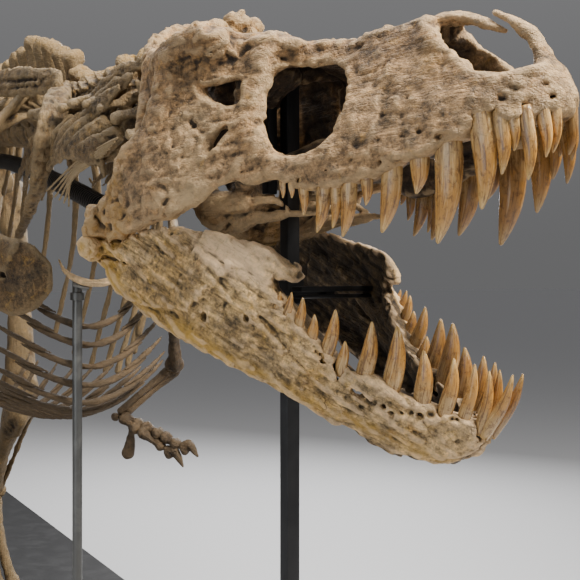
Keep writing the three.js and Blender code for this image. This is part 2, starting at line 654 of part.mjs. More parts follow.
function buildCranium() {
  const matrix = skullMatrix(SKULL.pitch);
  const local = (points) => points.map((p) => p.clone().applyMatrix4(matrix));
  const across = (outline, holes, half) => plate(outline, holes, half, (x, z) => -half(x, z), matrix);
  const hollow = (x, z) => skullHalf(x, z) - (z < 110 && x > 600 ? SKULL.gum : SKULL.wall);
  const shell = across(SKULL_SIDE, [NOSTRIL, SIDE_WINDOW, EYE_SOCKET, CHEEK_WINDOW], skullHalf);
  const chambers = Object.values(SIDES).map((side) => bone(
    local([vec(215, side * 205, -80), vec(215, side * 205, 250), vec(225, side * 175, 560)]),
    [[118, 92], [118, 92], [95, 80]], 4, 2, FORWARD,
  ));
  const walls = shell.subtract(across(CAVITY, [], hollow));
  const pieces = [chambers.reduce((kept, room) => kept.subtract(room), walls)];
  // Braincase with the ball that carries the skull, and the crest of the neck muscles.
  const pivot = (points, list, sides, steps, reference) => bone(local(points), list, sides, steps, reference);
  pieces.push(pivot(
    [vec(-12, 0, 230), vec(90, 0, 300), vec(330, 0, 370)], [[70, 80], [120, 150], [80, 120]], 6, 2,
  ));
  pieces.push(ball(vec(-20, 0, 215), vec(42, 42, 40), matrix, 6));
  pieces.push(pivot(
    [vec(62, -265, 380), vec(80, -140, 525), vec(88, 20, 575), vec(98, 170, 600), vec(66, 272, 430)],
    [[26, 50], [30, 68], [32, 72], [36, 80], [26, 60]], 4, 4,
  ));
  pieces.push(pivot([vec(85, 0, 480), vec(250, 0, 500)], [[40, 70], [60, 30]], 4, 1));
  // Hinge bones down to the jaw joint, and the wings from them to the palate.
  Object.values(SIDES).forEach((side) => {
    const at = (x, y, z) => vec(x, side * y, z);
    pieces.push(pivot(
      [at(0, 285, 8), at(45, 262, 130), at(100, 245, 390)], [[52, 30], [34, 40], [40, 44]], 4, 2, FORWARD,
    ));
    pieces.push(pivot(
      [at(50, 255, 180), at(180, 180, 170), at(420, 110, 120), at(760, 60, 150), at(1000, 40, 140)],
      [[16, 80], [14, 60], [26, 40], [16, 34], [20, 20]], 4, 4,
    ));
    pieces.push(pivot([at(430, 110, 120), at(560, 262, 110)], [[30, 26], [26, 24]], 4, 1));
  });
  // Teeth.
  Object.values(SIDES).forEach((side) => UPPER_TEETH.forEach(([x, length, wide]) => {
    const foot = read(UPPER_GUM, x);
    const y = Math.max(read(SKULL_HALF, x) - SKULL.gum / 2, 14) * side;
    const tip = vec(x - length * 0.2, y, foot - length);
    pieces.push(tooth(vec(x + 8, y, foot + SKULL.root), tip, wide, matrix, length * 0.05));
  }));
  return mainPiece(join(pieces));
}

const JAW_HALF = [
  [-60, 278], [150, 300], [300, 300], [450, 290], [600, 270], [750, 220], [900, 165], [1000, 132],
  [1100, 96], [1170, 62], [1250, 14],
];
const JAW_SIDE = [
  [-42, -60], [-25, -22], [70, -18], [150, 36], [285, 128], [395, 169], [500, 190], [617, 200], [692, 184],
  [655, 110], [728, 73], [825, 22], [898, 4], [1244, 10],
  [1222, -60], [1180, -110], [1120, -142], [1041, -160], [819, -133], [643, -120],
  [434, -140], [123, -133], [0, -102],
];
const JAW_WINDOW = [[430, -28], [480, -50], [452, -82]];
// Height of the upper edge of the lower jaw where teeth stand.
const LOWER_GUM = [[670, 98], [728, 73], [825, 22], [898, 4], [1027, 8], [1240, 18]];

function buildJaw(side) {
  const matrix = skullMatrix(JAW.pitch);
  const half = (x, z) => read(JAW_HALF, x) - 14 * THREE.MathUtils.clamp((-z - 90) / 60, 0, 1);
  const gummed = (x, z) => THREE.MathUtils.clamp((x - 560) / 60, 0, 1) * (z > -80 ? 1 : 0.5);
  const thick = (x, z) => mixed(JAW.wall, JAW.gum, gummed(x, z));
  const inner = (x, z) => Math.max(half(x, z) - thick(x, z), GAP);
  const pieces = [plate(JAW_SIDE, [JAW_WINDOW], half, inner, matrix, side)];
  LOWER_TEETH.forEach(([x, length, wide]) => {
    const foot = read(LOWER_GUM, x);
    const y = Math.max(read(JAW_HALF, x) - JAW.gum / 2, 22) * side;
    const lean = x > 1220 ? 0.1 : -0.2;
    const tip = vec(x + length * lean, y, foot + length);
    pieces.push(tooth(vec(x, y, foot - JAW.root), tip, wide, matrix, length * 0.04));
  });
  // Cup under the hinge bone of the skull.
  const cup = [vec(-30, side * 240, -34), vec(30, side * 300, -34)].map((p) => p.applyMatrix4(matrix));
  pieces.push(bone(cup, [[46, 26], [46, 26]], 6, 1));
  return mainPiece(join(pieces));
}

// ---------------------------------------------------------------------------------------------
// Stand

function upright(x, y, radius, low, high, sides = 12) {
  const shape = new THREE.CylinderGeometry(radius, radius, high - low, sides);
  shape.rotateX(Math.PI / 2);
  shape.translate(x, y, (low + high) / 2);
  return solid(shape);
}

function buildBase() {
  const half = { x: BASE.length / 2 - BASE.corner, y: BASE.width / 2 - BASE.corner };
  const shape = new THREE.Shape();
  shape.absarc(half.x, half.y, BASE.corner, 0, Math.PI / 2);
  shape.absarc(-half.x, half.y, BASE.corner, Math.PI / 2, Math.PI);
  shape.absarc(-half.x, -half.y, BASE.corner, Math.PI, 1.5 * Math.PI);
  shape.absarc(half.x, -half.y, BASE.corner, 1.5 * Math.PI, 2 * Math.PI);
  const plain = { depth: BASE.height, bevelEnabled: false, curveSegments: 2 };
  return solid(new THREE.ExtrudeGeometry(shape, plain));
}

// Round plate that a post stands on.
const footPlate = (x, y, floor) => upright(x, y, FOOT_PLATE.radius, floor, floor + FOOT_PLATE.thick);

// A post with a foot plate, cut to fit under the bone that it carries.
function seatedPost({ x, y, radius, top }, bones) {
  const floor = BASE.height + GAP;
  const pieces = [upright(x, y, radius, floor, top), footPlate(x, y, floor)];
  return bones.reduce(clearOf, join(pieces));
}

function buildChestPost(furcula) {
  const { x, y, radius, socket, socketTop, top } = CHEST_POST;
  const floor = BASE.height + GAP;
  const post = join([
    upright(x, y, radius, floor, top), upright(x, y, socket, floor, socketTop), footPlate(x, y, floor),
    bone([vec(x, y, top - 26), vec(2790, y, 2128)], [[14, 9], [14, 9]], 4, 1),
  ]);
  return clearOf(post, furcula);
}

function buildSkullPost(cranium, jaws) {
  const floor = BASE.height + GAP;
  const matrix = skullMatrix(SKULL.pitch);
  const foot = vec(SKULL_POST.ahead, SKULL_POST.left, 0).applyMatrix4(matrix);
  const turn = new THREE.Matrix4().makeRotationZ(SKULL.yaw * DEG).setPosition(foot.x, foot.y, 0);
  const { wide, deep, top, bar } = SKULL_POST;
  const pieces = [
    block(deep, wide, top - floor, vec(0, 0, (top + floor) / 2), turn),
    block(360, 360, FOOT_PLATE.thick, vec(0, 0, floor + FOOT_PLATE.thick / 2), turn),
    block(40, 360, 34, vec(150, 60, bar), turn),
    block(170, 36, 30, vec(75, 0, bar), turn),
  ];
  return [cranium, ...jaws].reduce(clearOf, join(pieces));
}

// ---------------------------------------------------------------------------------------------
// The whole mount

// Finishes: colour, how metallic, how rough.
const FINISHES = {
  bone: [0x8d7a62, 0, 0.75], skull: [0x9a8a74, 0, 0.75], jaw: [0xa08d68, 0, 0.75], dark: [0x6b5a47, 0, 0.75],
  base: [0x1b1b1c, 0.1, 0.6], black: [0x151516, 0.4, 0.5], steel: [0x8d9094, 0.8, 0.4],
};

function mesh(name, whole, [colour, metalness, roughness]) {
  const { vertProperties, triVerts } = whole.getMesh();
  const geometry = new THREE.BufferGeometry();
  geometry.setAttribute('position', new THREE.BufferAttribute(vertProperties, 3));
  geometry.setIndex(new THREE.BufferAttribute(triVerts, 1));
  const finish = new THREE.MeshStandardMaterial({ color: colour, metalness, roughness });
  const made = new THREE.Mesh(geometry, finish);
  made.name = name;
  return made;
}

function buildMount() {
  const group = new THREE.Group();
  const add = (name, whole, finish = FINISHES.bone) => group.add(mesh(name, whole, finish));

  const tail = buildTail();
  let sacrum = buildSacrum();
  const trunk = buildTrunk();
  const neck = buildNeck();
  let cranium = buildCranium();
  const jaws = { left: buildJaw(1), right: buildJaw(-1) };
  const condyle = vec(-52, 0, 215).applyMatrix4(skullMatrix(SKULL.pitch));
  const ahead = SPINE_LINE.getTangentAt(1);
  [neck.front, cranium] = seam(neck.front, cranium, condyle, ahead, 330);
  neck.front = clearOf(neck.front, cranium);
  const hinge = skullMatrix((SKULL.pitch + JAW.pitch) / 2);
  Object.entries(SIDES).forEach(([name, side]) => {
    const joint = vec(0, side * 275, -6).applyMatrix4(hinge);
    const rise = UP.clone().transformDirection(hinge);
    [jaws[name], cranium] = seam(jaws[name], cranium, joint, rise, 175);
  });

  neck.back = [neck.front, trunk.left, trunk.right].reduce(clearOf, neck.back);
  tail.middle = clearOf(tail.middle, tail.base);

  const furcula = buildFurcula();
  const ilia = { left: buildIlium(1), right: buildIlium(-1) };
  let pubes = buildPubes();
  let ischia = buildIschia();
  const parts = {};
  Object.entries(SIDES).forEach(([name, side]) => {
    [pubes, ilia[name]] = seam(pubes, ilia[name], vec(195, side * 190, 2640), UP, 230);
    [ischia, ilia[name]] = seam(ischia, ilia[name], vec(-162, side * 190, 2650), UP, 130);
    const leg = buildLeg(name, side);
    const socket = vec(0, side * 190, HIP.height + HIP.socket);
    [leg.femur, ilia[name]] = seam(leg.femur, ilia[name], socket, UP, 120);
    leg.femur = clearOf(leg.femur, ilia[name]);
    const shoulder = clearOf(buildShoulder(side), trunk[name]);
    const arm = buildArm(name);
    const elbowward = vec(-0.35, side * 0.2, -1);
    const [blade, humerus] = seam(shoulder, arm.humerus, vec(2636, side * 357, 2058), elbowward, 110);
    sacrum = clearOf(sacrum, ilia[name]);
    tail.base = clearOf(tail.base, ilia[name]);
    parts[name] = { leg, blade, arm: { ...arm, humerus } };
  });
  const chestPost = buildChestPost(furcula);
  const gastralia = clearOf(buildGastralia(), chestPost);

  add('cranium', cranium, FINISHES.skull);
  Object.keys(SIDES).forEach((name) => add(`mandible_${name}`, jaws[name], FINISHES.jaw));
  add('neck_front', neck.front);
  add('neck_back', neck.back);
  Object.keys(SIDES).forEach((name) => add(`trunk_${name}`, trunk[name]));
  add('gastralia', gastralia, FINISHES.dark);
  add('furcula', furcula, FINISHES.jaw);
  Object.keys(SIDES).forEach((name) => {
    const { leg, blade, arm } = parts[name];
    add(`scapulocoracoid_${name}`, blade);
    add(`humerus_${name}`, arm.humerus, FINISHES.dark);
    add(`forearm_${name}`, arm.forearm, FINISHES.dark);
    add(`hand_${name}`, arm.hand, FINISHES.dark);
    add(`ilium_${name}`, ilia[name]);
    add(`femur_${name}`, leg.femur);
    add(`shank_${name}`, leg.shank);
    add(`metatarsus_${name}`, leg.foot);
    Object.entries(leg.toes).forEach(([digit, toe]) => add(`toe_${digit}_${name}`, toe, FINISHES.dark));
  });
  add('sacrum', sacrum);
  add('pubes', pubes);
  add('ischia', ischia);
  add('tail_base', tail.base);
  add('tail_middle', tail.middle);
  add('tail_tip', tail.tip);

  add('stand_base', buildBase(), FINISHES.base);
  add('stand_chest_post', chestPost, FINISHES.steel);
  add('stand_skull_post', buildSkullPost(cranium, [jaws.left, jaws.right]), FINISHES.black);
  add('stand_hip_post', seatedPost(HIP_POST, [sacrum]), FINISHES.black);
  add('stand_tail_post', seatedPost(TAIL_POST, [tail.middle]), FINISHES.black);
  return group;
}

export default buildMount();
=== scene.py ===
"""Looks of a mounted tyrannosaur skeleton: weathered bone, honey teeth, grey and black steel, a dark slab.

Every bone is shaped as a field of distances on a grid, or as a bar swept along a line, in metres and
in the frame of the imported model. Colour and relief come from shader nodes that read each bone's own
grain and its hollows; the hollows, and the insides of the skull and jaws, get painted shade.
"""

import logging
import math
from collections.abc import Callable, Sequence
from dataclasses import dataclass, field, replace
from enum import Enum

import bpy
import numpy as np
import openvdb
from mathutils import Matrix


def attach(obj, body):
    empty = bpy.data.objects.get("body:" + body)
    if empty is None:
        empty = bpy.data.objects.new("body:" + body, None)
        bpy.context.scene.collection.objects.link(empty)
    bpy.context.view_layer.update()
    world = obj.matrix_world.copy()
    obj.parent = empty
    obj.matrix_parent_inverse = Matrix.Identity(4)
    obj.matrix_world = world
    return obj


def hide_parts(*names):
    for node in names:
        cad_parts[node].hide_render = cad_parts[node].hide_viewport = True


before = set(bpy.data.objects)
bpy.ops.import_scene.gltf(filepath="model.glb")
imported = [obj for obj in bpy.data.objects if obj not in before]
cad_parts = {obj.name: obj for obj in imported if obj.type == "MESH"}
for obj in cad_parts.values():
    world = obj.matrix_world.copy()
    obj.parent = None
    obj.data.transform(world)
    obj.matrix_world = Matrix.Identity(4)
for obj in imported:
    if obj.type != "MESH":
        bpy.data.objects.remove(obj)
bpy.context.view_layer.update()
BODY = "root"
log = logging.getLogger("skeleton")

Array = np.ndarray
Shape = Callable[[Array, Array, Array], Array]
Row = Sequence[float]
Points = Sequence[Row]
Place = tuple[float, float, float]

# Distances on a grid are kept up to FAR. Hollows this deep count as full ones on fine, middling and large
# bones. A vertebra wider than LARGE_BONE, as a radius, has hollows and ledges.
FAR = 0.05
FINE_HOLLOW = 0.0032
HOLLOW = 0.0035
LARGE_HOLLOW = 0.0045
SLAB_TOP = 0.1204
LARGE_BONE = 0.08
AHEAD = np.array([1.0, 0.0, 0.0])
LEFTWARD = np.array([0.0, 1.0, 0.0])
UP = np.array([0.0, 0.0, 1.0])


# ---- Numbers


def clamp(value: Array) -> Array:
    """Keeps values between 0 and 1."""
    return np.clip(value, 0.0, 1.0)


def ramp(value: Array, low: float, high: float) -> Array:
    """Smooth step from 0 at low to 1 at high; low may be the larger."""
    t = clamp((value - low) / (high - low))
    return t * t * (3.0 - 2.0 * t)


def bump(value: Array, centre: float, reach: float) -> Array:
    """Round hill of height 1 at centre that fades over reach."""
    return np.exp(-(((value - centre) / reach) ** 2))


def soft_min(a: Array, b: Array, blend: float) -> Array:
    """Lesser of two distances, with a fillet of about blend where they are alike."""
    h = np.maximum(blend - np.abs(a - b), 0.0)
    return np.minimum(a, b) - h * h * (0.25 / max(blend, 1e-6))


def soft_max(a: Array, b: Array, blend: float) -> Array:
    """Greater of two distances, rounded over about blend where they are alike."""
    return -soft_min(-a, -b, blend)


def read(points: Points, x: Array) -> Array:
    """Value at x on straight lines through (x, value) points."""
    table = np.asarray(points, dtype=float)
    return np.interp(x, table[:, 0], table[:, 1])


def mm(*rows: Row) -> Points:
    """Rows of millimetres, in metres."""
    return tuple(tuple(value / 1000 for value in row) for row in rows)


def smooth_line(points: Points, count: int, closed: bool = False) -> Array:
    """Centripetal spline through points, spaced evenly along its length.

    Args:
        points: the places that the line passes through.
        count: how many places to return.
        closed: whether the line returns to its start.

    Returns:
        An array of count rows.
    """
    p = np.asarray(points, dtype=float)
    if len(p) == 2 and not closed:
        return p[0] + (p[1] - p[0]) * np.linspace(0, 1, count)[:, None]
    if closed:
        p = np.vstack([p[-1], p, p[0], p[1]])
    else:
        p = np.vstack([2 * p[0] - p[1], p, 2 * p[-1] - p[-2]])
    gaps = np.maximum(np.linalg.norm(np.diff(p, axis=0), axis=1), 1e-6) ** 0.5
    parts = []
    share = np.linspace(0, 1, 12, endpoint=False)[:, None]
    for i in range(1, len(p) - 2):
        k0, k1, k2 = gaps[i - 1], gaps[i], gaps[i + 1]
        m1 = (p[i] - p[i - 1]) / k0 - (p[i + 1] - p[i - 1]) / (k0 + k1) + (p[i + 1] - p[i]) / k1
        m2 = (p[i + 1] - p[i]) / k1 - (p[i + 2] - p[i]) / (k1 + k2) + (p[i + 2] - p[i + 1]) / k2
        m1, m2 = m1 * k1, m2 * k1
        rest = p[i + 1] - p[i]
        square, cube = (3 * rest - 2 * m1 - m2) * share**2, (m1 + m2 - 2 * rest) * share**3
        parts.append(p[i] + m1 * share + square + cube)
    fine = np.vstack(parts + [p[-2][None]])
    along = np.concatenate([[0], np.cumsum(np.linalg.norm(np.diff(fine, axis=0), axis=1))])
    places = np.linspace(0, along[-1], count, endpoint=not closed)
    return np.stack([np.interp(places, along, fine[:, k]) for k in range(fine.shape[1])], axis=1)


def spread(values: Points | Row, count: int) -> Array:
    """Values spaced evenly along a line, read at count even places.

    Args:
        values: one value, or one row of values, for each even place.
        count: how many places are read.

    Returns:
        An array of count rows.
    """
    v = np.asarray(values, dtype=float)
    v = v[:, None] if v.ndim == 1 else v
    at = np.linspace(0, len(v) - 1, count)
    return np.stack([np.interp(at, np.arange(len(v)), v[:, k]) for k in range(v.shape[1])], axis=1)


def frames_along(line: Array, up: Array) -> tuple[Array, Array, Array]:
    """Unit axes at each place of a line: along it, across it, and up from it.

    Args:
        line: places along it.
        up: about which way is up.

    Returns:
        Three arrays with a row for each place.
    """
    ahead = np.gradient(line, axis=0)
    ahead /= np.linalg.norm(ahead, axis=1, keepdims=True)
    side = np.cross(np.broadcast_to(up, ahead.shape), ahead)
    side /= np.maximum(np.linalg.norm(side, axis=1, keepdims=True), 1e-9)
    return ahead, side, np.cross(ahead, side)


class Noise:
    """Smooth seeded noise between -1 and 1 on a lattice that repeats every 32 cells."""

    SPAN = 32

    def __init__(self, seed: int) -> None:
        """Fills the lattice.

        Args:
            seed: which noise.
        """
        self.table = np.random.default_rng(seed).uniform(-1, 1, self.SPAN**3).astype(np.float32)
        self.shift = np.random.default_rng(seed + 1).uniform(0, self.SPAN, 3)

    def at(self, points: Array, cell: float | Row) -> Array:
        """Noise at points.

        Args:
            points: rows of x, y and z.
            cell: size of a lattice cell, one for all axes or one each.

        Returns:
            One value for each row.
        """
        p = points / np.asarray(cell) + self.shift
        first = np.floor(p).astype(np.int64)
        t = (p - first).astype(np.float32)
        t = t * t * (3 - 2 * t)
        low, high = first % self.SPAN, (first + 1) % self.SPAN
        total = np.zeros(len(points), dtype=np.float32)
        for corner in range(8):
            pick = [(corner >> k) & 1 for k in range(3)]
            x, y, z = [(high if pick[k] else low)[:, k] for k in range(3)]
            weight = np.ones(len(points), dtype=np.float32)
            for k in range(3):
                weight *= t[:, k] if pick[k] else 1 - t[:, k]
            total += weight * self.table[(x * self.SPAN + y) * self.SPAN + z]
        return total


@dataclass(frozen=True)
class Grain:
    """How uneven a bone's surface is, in metres: lumps, rough crust, fibres along it, pits and creases."""

    lump: float = 0.003
    crust: float = 0.0014
    fibre: float = 0.0008
    pit: float = 0.0012
    size: float = 1.0
    crease: float = 0.0022


def relief(points: Array, noise: Noise, grain: Grain) -> Array:
    """Height of the surface's unevenness at points of a bone's own axes, x along its fibres.

    Args:
        points: rows of x, y and z.
        noise: which noise.
        grain: how uneven.

    Returns:
        One height for each point.
    """
    s = grain.size
    height = grain.lump * noise.at(points, 0.055 * s) + grain.lump * 0.5 * noise.at(points, 0.027 * s)
    height += grain.crust * noise.at(points, 0.014 * s)
    sway = 3.0 * noise.at(points, 0.1 * s)[:, None] * 0.004
    height += grain.fibre * noise.at(points + sway, (0.07 * s, 0.011 * s, 0.011 * s))
    height -= grain.pit * ramp(noise.at(points + 7.0, (0.034 * s, 0.016 * s, 0.016 * s)), 0.5, 0.85)
    wave = np.abs(noise.at(points + 11.0, (0.085 * s, 0.03 * s, 0.03 * s)))
    where = ramp(noise.at(points + 19.0, 0.1 * s), -0.35, 0.15)
    height -= grain.crease * where * ramp(wave, 0.15, 0.0)
    return height


# ---- Meshes


@dataclass
class Skin:
    """A mesh in the making: its points, its faces, each point's place in the bone's own axes, and masks."""

    points: Array
    faces: list[Array]
    rest: Array
    masks: dict[str, Array] = field(default_factory=dict)

    def moved(self, origin: Array, axes: Array) -> "Skin":
        """Copy placed by an origin and three unit axes, given as rows."""
        return Skin(self.points @ axes + origin, self.faces, self.rest, dict(self.masks))


def merged(skins: Sequence[Skin]) -> Skin:
    """Joins meshes into one without welding them.

    Args:
        skins: the meshes, which must carry the same masks.

    Returns:
        One mesh.
    """
    offset = 0
    faces: list[Array] = []
    for skin in skins:
        faces += [block + offset for block in skin.faces]
        offset += len(skin.points)
    names = skins[0].masks.keys()
    masks = {name: np.concatenate([s.masks[name] for s in skins]) for name in names}
    return Skin(np.vstack([s.points for s in skins]), faces, np.vstack([s.rest for s in skins]), masks)


def edges_of(faces: Sequence[Array]) -> Array:
    """Pairs of neighbouring points, each way round, from faces that share all their edges.

    Args:
        faces: blocks of faces.

    Returns:
        Rows of two point numbers.
    """
    pairs = [np.stack([f, np.roll(f, -1, axis=1)], axis=-1).reshape(-1, 2) for f in faces if len(f)]
    pairs = np.vstack(pairs)
    return np.vstack([pairs, pairs[:, ::-1]])


def normals_of(points: Array, faces: Sequence[Array]) -> Array:
    """Unit normal at each point.

    Args:
        points: rows of x, y and z.
        faces: blocks of faces.

    Returns:
        One row for each point.
    """
    total = np.zeros_like(points)
    for f in faces:
        if not len(f):
            continue
        flat = np.cross(points[f[:, 2]] - points[f[:, 0]], points[f[:, -1]] - points[f[:, 1]])
        if f.shape[1] == 3:
            flat = np.cross(points[f[:, 1]] - points[f[:, 0]], points[f[:, 2]] - points[f[:, 0]])
        for k in range(f.shape[1]):
            for axis in range(3):
                total[:, axis] += np.bincount(f[:, k], flat[:, axis], len(points))
    return total / np.maximum(np.linalg.norm(total, axis=1, keepdims=True), 1e-12)


def hollows_of(points: Array, faces: Sequence[Array], rounds: int = 14) -> Array:
    """How far each point lies in a hollow, in metres: below its smoothed neighbourhood is positive.

    Args:
        points: rows of x, y and z.
        faces: blocks of faces.
        rounds: how often it is smoothed.

    Returns:
        One depth for each point.
    """
    pairs = edges_of(faces)
    count = np.maximum(np.bincount(pairs[:, 0], minlength=len(points)), 1)
    smooth = points.copy()
    for _ in range(rounds):
        smooth = np.stack([np.bincount(pairs[:, 0], smooth[pairs[:, 1], k], len(points)) / count
            for k in range(3)], axis=1)
    return np.einsum("ij,ij->i", smooth - points, normals_of(points, faces))


class Clay:
    """A block of space on a grid, in which a bone is shaped as distances to its surface."""

    def __init__(self, low: Row, high: Row, step: float) -> None:
        """Starts with empty space.

        Args:
            low: lowest corner of the block.
            high: highest corner.
            step: grid spacing.
        """
        self.low = np.asarray(low, dtype=float)
        self.step = step
        self.count = np.ceil((np.asarray(high) - self.low) / step).astype(int) + 1
        self.field = np.full(self.count, FAR, dtype=np.float32)

    def window(self, low: Row, high: Row) -> tuple[tuple[slice, ...], list[Array]]:
        """Part of the grid between two corners, and its coordinates ready to broadcast.

        Args:
            low: lowest corner.
            high: highest corner.

        Returns:
            Slices of the grid, and one array for each axis.
        """
        first = np.clip(np.floor((np.asarray(low) - self.low) / self.step).astype(int), 0, self.count - 1)
        last = np.clip(np.ceil((np.asarray(high) - self.low) / self.step).astype(int) + 1, 1, self.count)
        last = np.maximum(last, first + 1)
        where = tuple(slice(a, b) for a, b in zip(first, last))
        axes = [(self.low[k] + self.step * np.arange(first[k], last[k])).astype(np.float32).reshape([-1
            if k == j else 1 for j in range(3)]) for k in range(3)]
        return where, axes

    def add(self, shape: Shape, low: Row, high: Row, blend: float = 0.012) -> None:
        """Joins a shape to the bone, with a fillet."""
        where, axes = self.window(low, high)
        self.field[where] = soft_min(self.field[where], shape(*axes), blend)

    def cut(self, shape: Shape, low: Row, high: Row, blend: float = 0.008) -> None:
        """Takes a shape away from the bone, with rounded rims."""
        where, axes = self.window(low, high)
        self.field[where] = soft_max(self.field[where], -shape(*axes), blend)

    def bar(self, points: Points, sizes: Points, up: Array = UP, blend: float = 0.012, steps: int = 12,
        cut: bool = False) -> None:
        """Joins or cuts a bar with oval sections along a smooth line.

        Args:
            points: places on the line.
            sizes: half width and half height, evenly spaced along it.
            up: direction of the half height.
            blend: size of the fillet.
            steps: how many straight lengths stand for the line.
            cut: whether the bar is taken away.
        """
        line = smooth_line(points, steps + 1)
        half = spread(sizes, steps + 1)
        _, side, _ = frames_along(line, up)
        margin = half.max() + blend + 2 * self.step
        where, _ = self.window(line.min(0) - margin, line.max(0) + margin)
        near = np.full([s.stop - s.start for s in where], FAR, dtype=np.float32)
        start = [s.start for s in where]
        for i in range(steps):
            ends = np.stack([line[i], line[i + 1]])
            part, spots = self.window(ends.min(0) - margin, ends.max(0) + margin)
            inside = tuple(slice(s.start - o, s.stop - o) for s, o in zip(part, start))
            near[inside] = np.minimum(near[inside], oval_length(spots, line, half, side, i))
        if cut:
            self.field[where] = soft_max(self.field[where], -near, blend)
        else:
            self.field[where] = soft_min(self.field[where], near, blend)

    def ball(self, centre: Row, radii: Row, blend: float = 0.012, cut: bool = False) -> None:
        """Joins or cuts an egg shape.

        Args:
            centre: its middle.
            radii: half sizes along x, y and z.
            blend: size of the fillet.
            cut: whether it is taken away.
        """
        margin = max(radii) + blend + 2 * self.step

        def egg(x: Array, y: Array, z: Array) -> Array:
            """Distance to the egg.

            Args:
                x: coordinates ahead.
                y: to the left.
                z: up.

            Returns:
                The distances.
            """
            u, v, w = x - centre[0], y - centre[1], z - centre[2]
            far = np.sqrt(u * u + v * v + w * w) + 1e-6
            k = np.sqrt((u / radii[0]) ** 2 + (v / radii[1]) ** 2 + (w / radii[2]) ** 2) + 1e-6
            return far * (1 - 1 / k)

        (self.cut if cut else self.add)(egg, np.asarray(centre) - margin, np.asarray(centre) + margin,
            blend)

    def roughen(self, noise: Noise, grain: Grain, extra: Callable[[Array], Array] | None = None,
        axes: Array | None = None) -> None:
        """Makes the surface uneven.

        Args:
            noise: which noise.
            grain: how uneven.
            extra: more height, worked out from rows of x, y and z.
            axes: the bone's own axes as rows, the first along its fibres.
        """
        reach = grain.lump * 1.6 + grain.crust + grain.fibre + grain.pit + 2 * self.step
        reach += 0.012 if extra else 0
        near = np.nonzero(np.abs(self.field) < reach)
        places = self.low + self.step * np.stack(near, axis=1)
        height = relief(places if axes is None else places @ axes.T, noise, grain)
        if extra is not None:
            height = height + extra(places)
        self.field[near] -= height.astype(np.float32)

    def skin(self) -> Skin:
        """Surface of the bone in the block's own axes, as one closed mesh without loose crumbs.

        Returns:
            The mesh.
        """
        self.field[[0, -1], :, :] = self.field[:, [0, -1], :] = FAR
        self.field[:, :, [0, -1]] = FAR
        grid = openvdb.FloatGrid()
        grid.background = FAR
        grid.copyFromArray(np.clip(self.field, -FAR, FAR))
        points, _, quads = grid.convertToPolygons(0.0, 0.0)
        quads = quads.astype(np.int64)
        points = points.astype(float) * self.step + self.low
        points, quads = largest(points, quads)
        return Skin(points, [quads], points.copy())


def oval_length(spots: list[Array], line: Array, half: Array, side: Array, i: int) -> Array:
    """Distance to one straight length of a bar with an oval section.

    Args:
        spots: coordinates, ready to broadcast.
        line: places along the bar.
        half: half width and half height at each place.
        side: unit direction of the half width at each place.
        i: which length.

    Returns:
        The distances.
    """
    run = line[i + 1] - line[i]
    long = float(np.linalg.norm(run)) + 1e-9
    ahead = run / long
    across = side[i] - ahead * (side[i] @ ahead)
    across /= np.linalg.norm(across) + 1e-9
    lift = np.cross(ahead, across)
    d = [spots[k] - line[i][k] for k in range(3)]
    along = d[0] * ahead[0] + d[1] * ahead[1] + d[2] * ahead[2]
    t = np.clip(along / long, 0.0, 1.0)
    a = along - t * long
    b = d[0] * across[0] + d[1] * across[1] + d[2] * across[2]
    c = d[0] * lift[0] + d[1] * lift[1] + d[2] * lift[2]
    wide = half[i][0] + (half[i + 1][0] - half[i][0]) * t
    high = half[i][1] + (half[i + 1][1] - half[i][1]) * t
    deep = np.minimum(wide, high)
    far = np.sqrt(a * a + b * b + c * c) + 1e-6
    k = np.sqrt((a / deep) ** 2 + (b / wide) ** 2 + (c / high) ** 2) + 1e-6
    return far * (1 - 1 / k)


def largest(points: Array, quads: Array) -> tuple[Array, Array]:
    """Keeps the connected piece with the most points.

    Args:
        points: rows of x, y and z.
        quads: rows of four point numbers.

    Returns:
        Its points and its faces.
    """
    label = np.arange(len(points))
    while True:
        low = label[quads].min(axis=1)
        new = label.copy()
        for k in range(4):
            np.minimum.at(new, quads[:, k], low)
        new = new[new]
        if np.array_equal(new, label):
            break
        label = new
    names, counts = np.unique(label, return_counts=True)
    keep = label == names[counts.argmax()]
    order = np.cumsum(keep) - 1
    return points[keep], order[quads[keep[quads[:, 0]]]]


def outline_field(x: Array, z: Array, outline: Array) -> Array:
    """Signed distance to a closed outline in a plane, negative inside.

    Args:
        x: grid of first coordinates.
        z: grid of second coordinates.
        outline: rows of corners.

    Returns:
        The distances, shaped like x and z together.
    """
    x, z = np.broadcast_arrays(x, z)
    best = np.full(x.shape, 1e9)
    inside = np.zeros(x.shape, dtype=bool)
    for a, b in zip(outline, np.roll(outline, -1, axis=0)):
        run = b - a
        t = np.clip(((x - a[0]) * run[0] + (z - a[1]) * run[1]) / (run @ run + 1e-12), 0, 1)
        best = np.minimum(best, (x - a[0] - t * run[0]) ** 2 + (z - a[1] - t * run[1]) ** 2)
        if abs(run[1]) > 1e-12:
            crosses = ((a[1] > z) != (b[1] > z)) & (x < run[0] * (z - a[1]) / run[1] + a[0])
            inside ^= crosses
    return (np.sqrt(best) * np.where(inside, -1, 1)).astype(np.float32)


